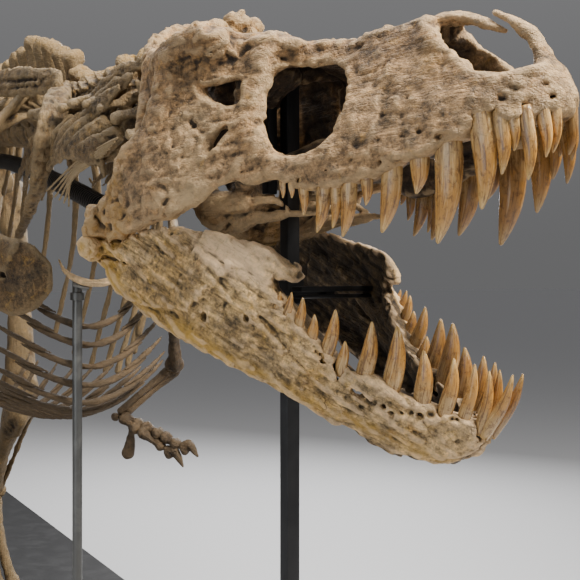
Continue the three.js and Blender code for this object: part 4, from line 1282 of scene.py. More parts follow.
@dataclass
class Cranium:
    """Upper skull, in its own axes: x ahead from the jaw joint, y to the left, z up."""

    step: float = 0.0056
    pitch: float = 5.0
    gum: float = 0.07
    wall: float = 0.03
    half: Points = mm((-150, 300), (0, 315), (100, 338), (200, 350), (350, 335), (450, 300), (550, 270),
        (700, 232), (850, 203), (1000, 178), (1150, 157), (1240, 134), (1300, 103), (1338, 66), (1362, 30),
        (1377, 4))
    crown: Points = ((0.0, 0.86), (0.45, 0.80), (0.56, 0.66), (0.66, 0.48), (0.8, 0.38), (1.0, 0.36),
        (1.15, 0.42), (1.3, 0.6), (1.4, 1.0))
    top: Points = mm((-50, 400), (100, 480), (300, 500), (420, 508), (480, 491), (555, 462), (630, 434),
        (740, 411), (810, 403), (940, 411), (1020, 406), (1056, 411), (1095, 409), (1140, 393), (1180, 373),
        (1220, 347), (1250, 330), (1400, 300))
    gum_line: Points = mm((280, -7), (415, 22), (490, 57), (592, 57), (650, 62), (704, 32), (761, 17),
        (832, 13), (903, 18), (959, 27), (1014, 47), (1069, 53), (1136, 77), (1169, 80), (1199, 98),
        (1230, 129), (1248, 112), (1267, 103), (1310, 96), (1340, 107), (1362, 110))
    snout: Points = mm((1376, 130), (1372, 170), (1352, 210), (1332, 226), (1305, 224), (1275, 219),
        (1240, 222), (1195, 241), (1159, 272), (1116, 316), (1074, 360), (1039, 393), (1015, 408))
    back: Points = mm((420, 500), (366, 486), (324, 462), (287, 420), (280, 360), (250, 305), (205, 245),
        (160, 190), (116, 127), (70, 90), (0, 83), (-44, 65), (-50, 25), (20, -22), (120, -28))
    eye: Points = mm((434, 333), (463, 336), (504, 338), (538, 338), (550, 301), (547, 267), (516, 267),
        (480, 285), (450, 306))
    slot: Points = mm((454, 161), (466, 150), (489, 162), (507, 185), (526, 212), (505, 214), (478, 200),
        (462, 184))
    side_window: Points = mm((606, 320), (613, 345), (640, 350), (682, 345), (725, 341), (767, 335),
        (809, 310), (832, 263), (833, 227), (815, 179), (796, 132), (749, 116), (700, 116), (668, 119),
        (627, 147), (610, 194), (600, 240), (600, 286))
    # Root and tip of each crown along and above the jaw, and its width, from the front.
    teeth: Points = mm((1345, 113, 1334, 30, 28), (1328, 108, 1328, 20, 30), (1300, 100, 1295, -27, 32),
        (1276, 100, 1273, 40, 29), (1251, 106, 1243, -8, 35), (1201, 125, 1188, -78, 54),
        (1118, 82, 1068, -142, 62), (1047, 56, 1027, -23, 45), (969, 39, 923, -102, 49),
        (905, 20, 893, -34, 30), (850, 17, 816, -101, 40), (817, 17, 795, -79, 27), (780, 17, 744, -83, 36),
        (725, 24, 715, -37, 26), (694, 33, 686, 9, 19), (669, 39, 661, 12, 18))

    SNOUT = (
        # Upper bar of the snout, which ends free above the prong of the nasal bones.
        Bar(mm((1345, 0, 150), (1325, 0, 200), (1313, 0, 240), (1288, 0, 298), (1262, 0, 328)),
            mm((50, 30), (36, 27), (26, 23), (22, 18), (18, 14)), AHEAD, 0.03, 18),
        Bar(mm((980, 0, 390), (1070, 0, 398), (1120, 0, 384), (1165, 0, 362), (1208, 0, 338)),
            mm((60, 20), (42, 19), (34, 16), (24, 12), (10, 6)), steps=12),
        Bar(mm((1275, 0, 315), (1243, 0, 347), (1212, 0, 368), (1186, 0, 386)),
            mm((19, 15), (18, 14), (13, 10), (6, 5)), UP, 0.006, steps=12),
    )
    PAIRED = (
        # Bar over the temple, the ridge behind the cheek plate, and the crushed bone behind that.
        Bar(mm((440, 262, 465), (340, 280, 452), (270, 262, 440), (190, 220, 450), (100, 160, 490)),
            mm((30, 36), (28, 32), (26, 36), (24, 40), (22, 40)), steps=12),
        Bar(mm((350, 250, 460), (318, 265, 420), (312, 280, 360), (312, 290, 300), (303, 302, 220),
            (284, 315, 140), (286, 322, 50)), mm((30, 24), (30, 26), (28, 26), (28, 25), (30, 25), (36, 24),
            (40, 20)), LEFTWARD, 0.04, 14),
        Bar(mm((130, 200, 400), (200, 236, 360), (290, 262, 330)), mm((16, 50), (18, 75), (16, 70)),
            steps=12),
        Bar(mm((120, 225, 250), (200, 262, 250), (290, 282, 250)), mm((16, 50), (18, 60), (14, 70)),
            steps=12),
        Bar(mm((140, 200, 460), (160, 245, 340), (150, 260, 240)), mm((24, 20), (26, 20), (20, 16)),
            LEFTWARD, 0.012, steps=12),
        # Bar ahead of the eye, smooth, with a sharp front edge, and the plate sunk in the socket.
        Bar(mm((585, 172, 425), (582, 192, 360), (566, 208, 300), (550, 220, 245), (556, 230, 190),
            (600, 238, 130)), mm((45, 28), (28, 20), (22, 16), (18, 15), (22, 14), (50, 14)), LEFTWARD,
            0.045, 16),
        Bar(mm((604, 185, 320), (576, 202, 262), (571, 212, 215), (598, 222, 165)),
            mm((8, 9), (7, 9), (7, 9), (6, 8)), LEFTWARD, 0.014, steps=12),
        Bar(mm((520, 190, 360), (515, 200, 300), (510, 210, 250)), mm((26, 10)) * 3, LEFTWARD, 0.01,
            steps=12),
        # Bosses above and behind the eye.
        Ball((0.46, 0.25, 0.44), (0.07, 0.036, 0.045), 0.035),
        Ball((0.6, 0.142, 0.412), (0.085, 0.04, 0.03), 0.03),
        # Jaw-hinge pillar with its flared, crusty outer sheet.
        Bar(mm((5, 275, 10), (50, 270, 90), (120, 250, 180), (160, 225, 280), (150, 200, 400)),
            mm((55, 26), (32, 34), (30, 26), (28, 24), (30, 30)), AHEAD, 0.02, steps=12),
        Bar(mm((5, 215, 4), (2, 330, 6)), mm((30, 24), (32, 26)), steps=12),
        Bar(mm((75, 312, 30), (125, 324, 100), (185, 318, 200)), mm((22, 50), (26, 45), (20, 30)), AHEAD,
            0.02, steps=12),
        Ball((-0.008, 0.31, 0.045), (0.04, 0.03, 0.034), 0.012),
        # Wing bones from the hinge to the palate, and the strut to the cheek.
        Bar(mm((20, 250, 150), (180, 180, 160), (360, 120, 130), (500, 100, 115)),
            mm((12, 70), (11, 55), (16, 35), (20, 30)), UP, 0.015, steps=12),
        Bar(mm((360, 100, 100), (430, 140, 70), (500, 190, 80), (560, 245, 100)),
            mm((30, 30), (28, 22), (26, 22), (30, 25)), steps=12),
        # Thick wing behind the cheek, and the two forked prongs below it.
        Bar(mm((300, 170, 100), (330, 185, 50), (360, 190, 5), (380, 180, -25)),
            mm((60, 14), (55, 18), (50, 20), (30, 14)), LEFTWARD, 0.02, steps=12),
        Bar(mm((360, 190, 30), (430, 185, 35), (470, 175, 30)), mm((18, 30), (18, 30), (12, 20)), steps=12),
        Bar(mm((290, 165, -50), (360, 160, -34), (450, 152, -18), (550, 145, -17), (650, 135, -22),
            (720, 120, -30)), mm((14, 12), (20, 20), (18, 22), (14, 16), (10, 11), (5, 6)), UP, 0.014, 18),
        Bar(mm((360, 165, -20), (430, 160, 8), (500, 155, 26), (570, 150, 18), (610, 150, -6)),
            mm((18, 18), (16, 18), (12, 14), (10, 12), (6, 8)), UP, 0.012, 16),
        Bar(mm((500, 100, 115), (660, 75, 140), (840, 60, 150), (1000, 45, 140)),
            mm((22, 22), (14, 30), (40, 14), (50, 12)), UP, 0.015, steps=12),
        Bar(mm((300, 85, 420), (420, 130, 430), (500, 200, 420)), mm((35, 35)) * 3, steps=12),
        # Wings of the back of the skull, down to the sides.
        Bar(mm((60, 50, 300), (70, 130, 320), (90, 200, 310)), mm((30, 60), (22, 50), (20, 45)), steps=12),
    )
    REAR = (
        # Braincase with the ball that the neck carries, and its lower knobs.
        Bar(mm((0, 0, 235), (120, 0, 290), (260, 0, 350), (440, 0, 400)),
            mm((70, 85), (110, 150), (90, 110), (80, 60)), UP, 0.03, steps=12),
        Ball((-0.022, 0, 0.215), (0.04, 0.042, 0.04), 0.012),
        Bar(mm((80, 0, 200), (50, 0, 130)), mm((70, 30), (75, 20)), AHEAD, 0.02, steps=12),
        # Ridge along the top and the fan of the neck muscles' crest.
        Bar(mm((450, 0, 485), (300, 0, 475), (180, 0, 510), (100, 0, 570)),
            mm((60, 30), (25, 50), (22, 60), (30, 60)), UP, 0.03, steps=12),
        Bar(mm((100, -170, 450), (85, -130, 520), (80, -50, 555), (85, 40, 575), (90, 130, 585),
            (90, 220, 570), (90, 265, 500), (120, 250, 420)),
            mm((26, 40), (26, 50), (28, 60), (30, 60), (32, 62), (30, 60), (26, 50), (24, 40)), steps=24),
    )
    KNOBS = mm((85, -130, 545, 22), (80, -85, 565, 18), (80, -30, 588, 22), (85, 35, 602, 20),
        (85, 95, 625, 30), (90, 180, 652, 42), (90, 238, 645, 36), (130, 200, 600, 30))

    # Small holes, along, above and radius, and the seams between the bones.
    HOLES = mm((1022, 201, 6), (958, 57, 5), (1063, 112, 6), (1117, 91, 7), (1207, 125, 6), (1264, 155, 6),
        (1289, 174, 5), (1343, 179, 5), (1352, 147, 6), (1310, 130, 4), (880, 75, 4), (810, 60, 4),
        (420, 230, 5), (735, 345, 12))
    SEAMS = ( mm((606, 388), (651, 371), (693, 361), (729, 357), (775, 357), (822, 363), (870, 378)),
        mm((1225, 135), (1212, 170), (1222, 200), (1205, 240)),
        mm((290, 0), (360, 50), (440, 80), (520, 85), (600, 90)), mm((450, 300), (430, 340), (420, 400)),
        mm((460, 200), (400, 250), (360, 280)), )

    def half_at(self, x: Array, z: Array) -> Array:
        """Half width of the outside at a place along and above."""
        rise = clamp((z - 0.07) / np.maximum(read(self.top, x) - 0.07, 0.05))
        return read(self.half, x) * (1 - (1 - read(self.crown, x)) * rise**1.35)

    def side_outline(self) -> Array:
        """Closed outline of the skull's side."""
        ridge = [(x, read(self.top, x)) for x in (1.0, 0.9, 0.8, 0.7, 0.62, 0.555, 0.48)]
        return smooth_line([*self.back, *self.gum_line, *self.snout, *ridge], 340, closed=True)

    def walls(self, clay: Clay) -> None:
        """Both side walls with their windows, the vault between them and the closed snout.

        Args:
            clay: the block.
        """
        where, (x, y, z) = clay.window(clay.low, clay.low + clay.step * clay.count)
        out = np.abs(y)
        half = self.half_at(x, z).astype(np.float32)
        slope = np.gradient(half[:, 0, :], clay.step)
        lean = 1 / np.sqrt(1 + slope[0] ** 2 + slope[1] ** 2)[:, None, :]
        edge = outline_field(x, z, self.side_outline())
        rims = np.full(edge.shape, FAR, dtype=np.float32)
        for window in (self.eye, self.slot, self.side_window):
            rims = np.minimum(rims, outline_field(x, z, smooth_line(window, 60, closed=True)))
        edge = soft_max(edge, -rims, 0.006)
        raised = 0.007 * np.exp(-((np.maximum(rims, 0) / 0.02) ** 2)) * ramp(x, 0.9, 0.6)
        low_part = ramp(z, 0.17, 0.1)
        thick = (self.wall + (self.gum - self.wall) * low_part * ramp(x, 0.6, 0.68)
            + 0.02 * ramp(x, 0.5, 0.3))
        thick = thick + 0.2 * ramp(x, 1.19, 1.26) * ramp(z, 0.26, 0.2)
        outer = (out - half - raised) * lean
        inner = (half - thick - out) * lean
        wall = soft_max(soft_max(outer, inner, 0.012), edge, 0.02)
        top = read(self.top, x) - 0.02 * (out / np.maximum(half, 0.03)) ** 2
        vault = np.maximum(np.abs(z - top + 0.03) - 0.028, out - self.half_at(x, read(self.top, x)) + 0.01)
        ends = np.maximum(0.39 - x, x - 1.045)
        vault = soft_max(vault, ends, 0.02)
        clay.field[where] = soft_min(wall.astype(np.float32), vault.astype(np.float32), 0.028)

    def bars(self, clay: Clay) -> None:
        """The bones that bridge, brace and ridge the walls.

        Args:
            clay: the block.
        """
        paired = [part.beside(side) for side in (1, -1) for part in self.PAIRED]
        for part in (*self.SNOUT, *paired, *self.REAR):
            part.put(clay)
        for x, y, z, r in self.KNOBS:
            clay.ball((x, y, z), (r * 1.15, r, r), 0.02)

    def crust(self, places: Array) -> Array:
        """More height where the bone is knobbly: snout top, bosses, crest and rear of the cheek.

        Args:
            places: rows of x, y and z.

        Returns:
            One height for each place.
        """
        x, y, z = places.T
        knobs = Noise(31)
        mask = (ramp(z, read(self.top, x) - 0.06, read(self.top, x) - 0.01) * ramp(x, 1.2, 1.1)
            * ramp(x, 0.6, 0.75))
        mask = np.maximum(mask, 1.5 * ramp(x, 0.22, 0.16) * ramp(np.abs(y), 0.24, 0.29)
            * ramp(z, 0.26, 0.2))
        mask = np.maximum(mask, ramp(z, 0.47, 0.53))
        mask = np.maximum(mask, bump(x, 0.5, 0.12) * ramp(z, 0.4, 0.44))
        mask = np.maximum(mask, 0.8 * ramp(x, 0.27, 0.22) * ramp(np.abs(y), 0.27, 0.2))
        height = 0.007 * mask * knobs.at(places, 0.024) + 0.0035 * mask * knobs.at(places + 3, 0.012)
        ribs = bump(x, 0.93, 0.11) * ramp(z, 0.05, 0.12) * ramp(z, 0.36, 0.3)
        height += 0.006 * ribs * knobs.at(places, (0.02, 0.05, 0.1))
        height += 0.003 * knobs.at(places + 9, (0.05, 0.05, 0.016)) * bump(x, 0.5, 0.3)
        return height

    def build(self, workshop: Workshop) -> None:
        """Makes the cranium and its teeth.

        Args:
            workshop: dresses the pieces.
        """
        clay = Clay((-0.11, -0.40, -0.075), (1.43, 0.40, 0.70), self.step)
        self.walls(clay)
        self.bars(clay)
        crowns = [self.tooth(row, side) for row in self.teeth for side in (-1, 1)]
        for crown in crowns:
            clay.bar([(crown.root[0] - 0.004, crown.across, crown.root[1] + 0.03),
                (crown.root[0], crown.across, crown.root[1] - 0.02)],
                [(crown.wide * 0.3, crown.wide * 0.3)] * 2, LEFTWARD, 0.006, 1, cut=True)
        self.holes(clay)
        clay.roughen(Noise(11), Grain(0.0042, 0.0018, 0.0022, 0.0006, crease=0.0042), self.crust)
        skin = clay.skin()
        self.paint(skin)
        axes = turned_axes(HEAD_YAW, self.pitch)
        workshop.dress("cranium_bone", skin.moved(JAW_JOINT, axes), Slot.SKULL, ["cranium"])
        # Painted shade on the left crowns, on the far side from the camera.
        teeth = merged([c.skin(0.035, 0.0 if c.across < 0 else 1.0) for c in crowns])
        workshop.dress("teeth_upper", teeth.moved(JAW_JOINT, axes), Slot.TOOTH)

    def tooth(self, row: Row, side: int) -> Tooth:
        """One crown of the row on one side.

        Args:
            row: root, tip and width.
            side: 1 on the left, -1 on the right.

        Returns:
            The crown.
        """
        x, z, tip_x, tip_z, wide = row
        wide *= 1.14
        across = max(read(self.half, x) - 0.012 - wide * 0.34, 0.014)
        return Tooth((x, z), (tip_x, tip_z), wide, side * across, side * across * 0.97)

    def holes(self, clay: Clay) -> None:
        """Small holes for nerves and vessels, and the seams between the bones.

        Args:
            clay: the block.
        """
        for side in (-1, 1):
            for x, z, r in self.HOLES:
                y = side * self.half_at(x, z)
                clay.ball((x, y, z), (1.3 * r, 0.012, r), 0.005, cut=True)
            clay.ball((1.255, side * 0.152, 0.195), (0.055, 0.03, 0.028), 0.02, cut=True)
            for seam in self.SEAMS:
                path = [(x, side * (self.half_at(x, z) + 0.002), z) for x, z in seam]
                clay.bar(path, mm((4, 4)) * 2, UP, 0.005, 12, cut=True)

    def paint(self, skin: Skin) -> None:
        """Masks of pale, ochre and dark bone, and how far each point lies in a hollow; inside and in
        hollows they carry painted shade.

        Args:
            skin: the mesh.
        """
        x, y, z = skin.rest.T
        half = self.half_at(x, z)
        rear = ramp(x, 0.31, 0.27) * ramp(np.abs(y), 0.14, 0.2)
        fork = ramp(z, 0.075, 0.045) * ramp(x, 0.74, 0.7) * ramp(np.abs(y), 0.09, 0.11)
        inside = ((1 - 0.85 * rear) * (1 - fork) * ramp(half - np.abs(y), 0.012, 0.05)
            * ramp(z, read(self.top, x) - 0.02, read(self.top, x) - 0.07))
        # Painted shade: the hollow mask darkens hollows, and the skull's inside more.
        skin.masks["hollow"] = hollows_of(skin.points, skin.faces) / FINE_HOLLOW + 0.5 * inside
        roof = ramp(z, 0.26, 0.33) * ramp(x, 0.7, 0.8) * ramp(x, 1.12, 1.0)
        # Painted shade on the skull's inside, fading out in the snout tip; darker patches on the roof of
        # the snout and low behind the cheek.
        skin.masks["dark"] = (0.95 * inside * ramp(x, 1.2, 1.1)
            + (0.42 * roof + 0.3 * bump(x, 0.3, 0.14) * bump(z, 0.14, 0.08)) * (1 - inside))
        pale = (0.45 * bump(x, 0.42, 0.1) * ramp(z, 0.36, 0.24)
            + 0.4 * bump(z, 0.04, 0.03) * ramp(x, 0.5, 0.4))
        pale += 0.36 * ramp(x, 1.2, 1.3) + 0.3 * bump(x, 0.6, 0.05) * ramp(z, 0.2, 0.3)
        skin.masks["pale"] = pale * (1 - inside)
        ochre = (0.5 * ramp(x, 0.22, 0.15) * ramp(np.abs(y), 0.24, 0.29) * ramp(z, 0.27, 0.2)
            + 0.35 * ramp(z, 0.5, 0.56))
        ochre += 0.4 * bump(x, 1.08, 0.09) * bump(z, 0.3, 0.09)
        skin.masks["ochre"] = ochre * (1 - inside)


@dataclass
class Jaw:
    """One side of the lower jaw, in its own axes: x ahead from the joint, y to the left, z up."""

    side: int
    name: str
    seed: int
    step: float = 0.005
    pitch: float = -23.4
    half: Points = mm((-100, 275), (0, 290), (150, 300), (300, 300), (450, 290), (600, 270), (750, 222),
        (900, 168), (1000, 134), (1100, 97), (1170, 64), (1220, 34), (1250, 12))
    upper: Points = mm((-25, -22), (20, -17), (63, -10), (105, 18), (159, 60), (226, 102), (295, 133),
        (364, 152), (450, 170), (528, 186), (570, 191), (611, 190), (646, 180), (668, 168), (679, 150),
        (673, 133), (655, 134), (643, 108))
    gum_line: Points = mm((678, 96), (728, 73), (779, 42), (825, 22), (869, 10), (898, 3), (961, 12),
        (1000, 12), (1027, 6), (1063, 8), (1109, 12), (1143, 9), (1192, 17), (1220, 19))
    lower: Points = mm((1235, 19), (1246, 7), (1243, -15), (1222, -60), (1193, -100), (1169, -118),
        (1130, -137), (1087, -148), (1041, -161), (990, -160), (931, -146), (876, -140), (819, -133),
        (762, -127), (702, -120), (643, -120), (582, -126), (510, -133), (434, -140), (371, -140),
        (305, -141), (254, -135), (199, -124), (123, -133), (60, -124), (1, -102), (-40, -88), (-40, -50))
    teeth: Points = mm((674, 70, 675, 112, 18), (701, 66, 703, 122, 22), (739, 52, 731, 120, 27),
        (779, 30, 771, 92, 30), (824, 21, 816, 125, 35), (870, 4, 863, 62, 30), (926, -2, 904, 132, 42),
        (995, 4, 962, 147, 47), (1074, 8, 1038, 118, 42), (1131, 8, 1112, 132, 36),
        (1174, 12, 1159, 140, 30), (1213, 15, 1190, 137, 27), (1236, 16, 1252, 158, 26))

    BRACES = (
        # Shelf that roofs the deep groove of the rear, the hinge cup and the thick lower rim.
        Bar(mm((0, 285, -35), (80, 292, -24), (160, 292, -6), (260, 285, 30)),
            mm((22, 14), (18, 14), (12, 12), (6, 8)), steps=12),
        Bar(mm((0, 200, -55), (0, 330, -50)), mm((42, 30), (42, 34)), steps=12),
        Bar(mm((-10, 270, -70), (-50, 270, -70)), mm((35, 28), (24, 18)), steps=12),
        Bar(mm((0, 275, 4), (0, 275, -4)), mm((52, 22)) * 2, AHEAD, 0.008, 1, cut=True),
        Bar(mm((60, 275, -105), (300, 285, -120), (600, 250, -105), (900, 145, -120)), mm((16, 20)) * 4,
            steps=12),
        # Inner side: the bone that backs the teeth, and the long groove under it.
        Bar(mm((300, 262, 20), (500, 245, 60), (660, 212, 30)), mm((12, 45), (12, 50), (12, 40)), steps=12),
        Bar(mm((620, 215, -50), (800, 155, -60), (1000, 75, -70)), mm((12, 16)) * 3, UP, 0.012, cut=True,
            steps=12),
    )
    # Rear edge of the sheet over the outer side, its height first.
    SHEET = mm((-150, 90), (-100, 300), (-50, 430), (0, 461), (130, 530))
    # Grooves of the outer side: under the hinge shelf and along the step below the teeth.
    GROOVE = mm((0, -82), (30, -68), (80, -52), (135, -40), (200, -20))
    LIP = mm((595, 72), (659, 36), (739, -8), (820, -44), (892, -58), (984, -66))

    def build(self, workshop: Workshop) -> None:
        """Makes this side of the jaw and its teeth.

        Args:
            workshop: dresses the pieces.
        """
        clay = Clay((-0.09, 0.0, -0.19), (1.28, 0.36, 0.23), self.step)
        where, (x, y, z) = clay.window(clay.low, clay.low + clay.step * clay.count)
        outline = smooth_line([*self.upper, *self.gum_line, *self.lower], 260, closed=True)
        edge = outline_field(x, z, outline)
        half = read(self.half, x)
        slope = np.gradient(half[:, 0, 0], clay.step)[:, None, None]
        bulge = self.hollowed(z) + 0.02 * ramp(z, -0.08, -0.16)
        front = ramp(x, 0.6, 0.7)
        thick = (0.032 + 0.01 * front + 0.022 * front * ramp(z, -0.06, 0.0) + 0.012 * ramp(z, -0.07, -0.12)
            + 0.02 * ramp(x, 0.12, 0.0))
        outer = (y - half + bulge) / np.sqrt(1 + slope**2)
        inner = (half - bulge - thick - y) / np.sqrt(1 + slope**2)
        wall = soft_max(soft_max(outer, inner, 0.012), edge, 0.02)
        clay.field[where] = np.maximum(wall, 0.0015 - y).astype(np.float32)
        for part in self.BRACES:
            part.put(clay)
        crowns = [self.tooth(row) for row in self.teeth]
        for crown in crowns:
            clay.bar([(crown.root[0], crown.across, crown.root[1] - 0.03),
                (crown.root[0], crown.across, crown.root[1] + 0.03)],
                [(crown.wide * 0.32, crown.wide * 0.32)] * 2, LEFTWARD, 0.006, 1, cut=True)
        self.holes(clay)
        clay.roughen(Noise(self.seed), Grain(0.0034, 0.0018, 0.0026, 0.0006, crease=0.004), self.crust)
        skin = clay.skin()
        self.paint(skin)
        if self.side < 0:
            skin = mirrored(skin)
        axes = turned_axes(HEAD_YAW, self.pitch)
        workshop.dress(f"{self.name}_bone", skin.moved(JAW_JOINT, axes), Slot.JAW, [self.name])
        # Painted shade on the left jaw's crowns, on the far side from the camera.
        teeth = merged([c.skin(0.03, 0.0 if self.side < 0 else 0.7) for c in crowns])
        if self.side < 0:
            teeth = mirrored(teeth)
        workshop.dress(f"teeth_{self.name}", teeth.moved(JAW_JOINT, axes), Slot.TOOTH)

    def hollowed(self, z: Array) -> Array:
        """How far the outside lies inward of its greatest width."""
        return 0.016 * ((z + 0.03) / 0.13) ** 2

    def tooth(self, row: Row) -> Tooth:
        """One crown, on the left.

        Args:
            row: root, tip and width.

        Returns:
            The crown.
        """
        x, z, tip_x, tip_z, wide = row
        wide *= 1.14
        across = max(read(self.half, x) - 0.014 - wide * 0.36, 0.016)
        return Tooth((x, z), (tip_x, tip_z), wide, across, across + 0.004)

    def holes(self, clay: Clay) -> None:
        """Nerve holes of the side, and the row of small ones near the front.

        Args:
            clay: the block.
        """
        for x, z, r in mm((485, -44, 12), (620, 13, 9), (564, 167, 6)):
            clay.ball((x, read(self.half, x), z), (r, 0.03, r), 0.004, cut=True)
        for i in range(12):
            x = 0.93 + 0.021 * i
            z = -0.043 + 0.004 * math.sin(2.1 * i) + 0.045 * ramp(x, 1.02, 1.17)
            clay.ball((x, read(self.half, x), z), (0.0075, 0.016, 0.0065), 0.004, cut=True)
        for row, deep in ((self.GROOVE, 0.012), (self.LIP, 0.004)):
            path = [(x, read(self.half, x) - self.hollowed(z), z) for x, z in row]
            clay.bar(path, [(deep, 0.0045)] * 2, UP, 0.006, 24, cut=True)

    def crust(self, places: Array) -> Array:
        """Long ridges on the outside and a knobbly rear end.

        Args:
            places: rows of x, y and z.

        Returns:
            One height for each place.
        """
        x, y, z = places.T
        knobs = Noise(self.seed + 40)
        tilted = places @ turned_axes(0.0, -14.0).T
        ridges = (0.0045 * knobs.at(tilted, (0.14, 0.03, 0.018))
            + 0.003 * knobs.at(tilted + 5, (0.06, 0.02, 0.009)))
        rear = ramp(x, 0.1, 0.02)
        ragged = 0.016 * knobs.at(places + 2, 0.03) + 0.008 * knobs.at(places + 4, 0.012)
        sheet = ramp(x - read(self.SHEET, z) + ragged, 0.0, 0.006)
        outer = ramp(np.abs(y) - read(self.half, x), -0.02, -0.008)
        return (ridges + 0.005 * rear * knobs.at(places, 0.022)
            + 0.009 * (1 - sheet) * outer * ramp(x, 0.06, 0.12))

    def paint(self, skin: Skin) -> None:
        """Masks of pale, ochre and dark bone, and how far each point lies in a hollow; on the inner side
        and in hollows they carry painted shade.

        Args:
            skin: the mesh.
        """
        x, y, z = skin.rest.T
        inside = ramp(read(self.half, x) - self.hollowed(z) - y, 0.016, 0.032)
        # Painted shade: the hollow mask darkens hollows, and the jaw's inner side more.
        skin.masks["hollow"] = hollows_of(skin.points, skin.faces) / FINE_HOLLOW + 0.5 * inside
        # Painted shade on the jaw's inner side, and a darker patch low on the outside.
        skin.masks["dark"] = 0.95 * inside + 0.5 * bump(x, 0.78, 0.06) * bump(z, -0.07, 0.03)
        skin.masks["pale"] = ((0.9 * bump(x, 0.5, 0.16) * ramp(z, 0.05, 0.12) + 0.3 * ramp(x, 1.05, 1.15))
            * (1 - inside))
        skin.masks["ochre"] = (0.6 * ramp(x, 0.2, 0.08) + 0.5 * bump(z, -0.11, 0.03)
            + 0.25 * bump(x, 0.5, 0.15) * ramp(z, 0.1, 0.05)) * (1 - inside)


def mirrored(skin: Skin) -> Skin:
    """Copy mirrored across the middle plane, with its faces still outward."""
    flip = np.array([1.0, -1.0, 1.0])
    return Skin(skin.points * flip, [f[:, ::-1] for f in skin.faces], skin.rest * flip, skin.masks)


# ---- Backbone

SPINE = smooth_line(mm((-6000, -150, 2590), (-4600, 60, 2520), (-3000, 110, 2650), (-1500, 30, 2860),
    (-460, 0, 2950), (460, 0, 2940), (1150, 0, 2870), (1850, 0, 2790), (2540, 0, 2715), (2850, -15, 2680),
    (3150, -25, 2680), (3390, -8, 2615), (3572, 8, 2490)), 4000)
SPINE_LONG = float(np.linalg.norm(np.diff(SPINE, axis=0), axis=1).sum())


@dataclass
class Spot:
    """Where one vertebra stands: middle, axes as rows, length, radius and share of the way."""

    centre: Array
    axes: Array
    long: float
    radius: float
    share: float

    def out(self, x: float, y: float, z: float) -> Array:
        """Place in the mount's axes of a place in the vertebra's."""
        return self.centre + np.array([x, y, z]) @ self.axes


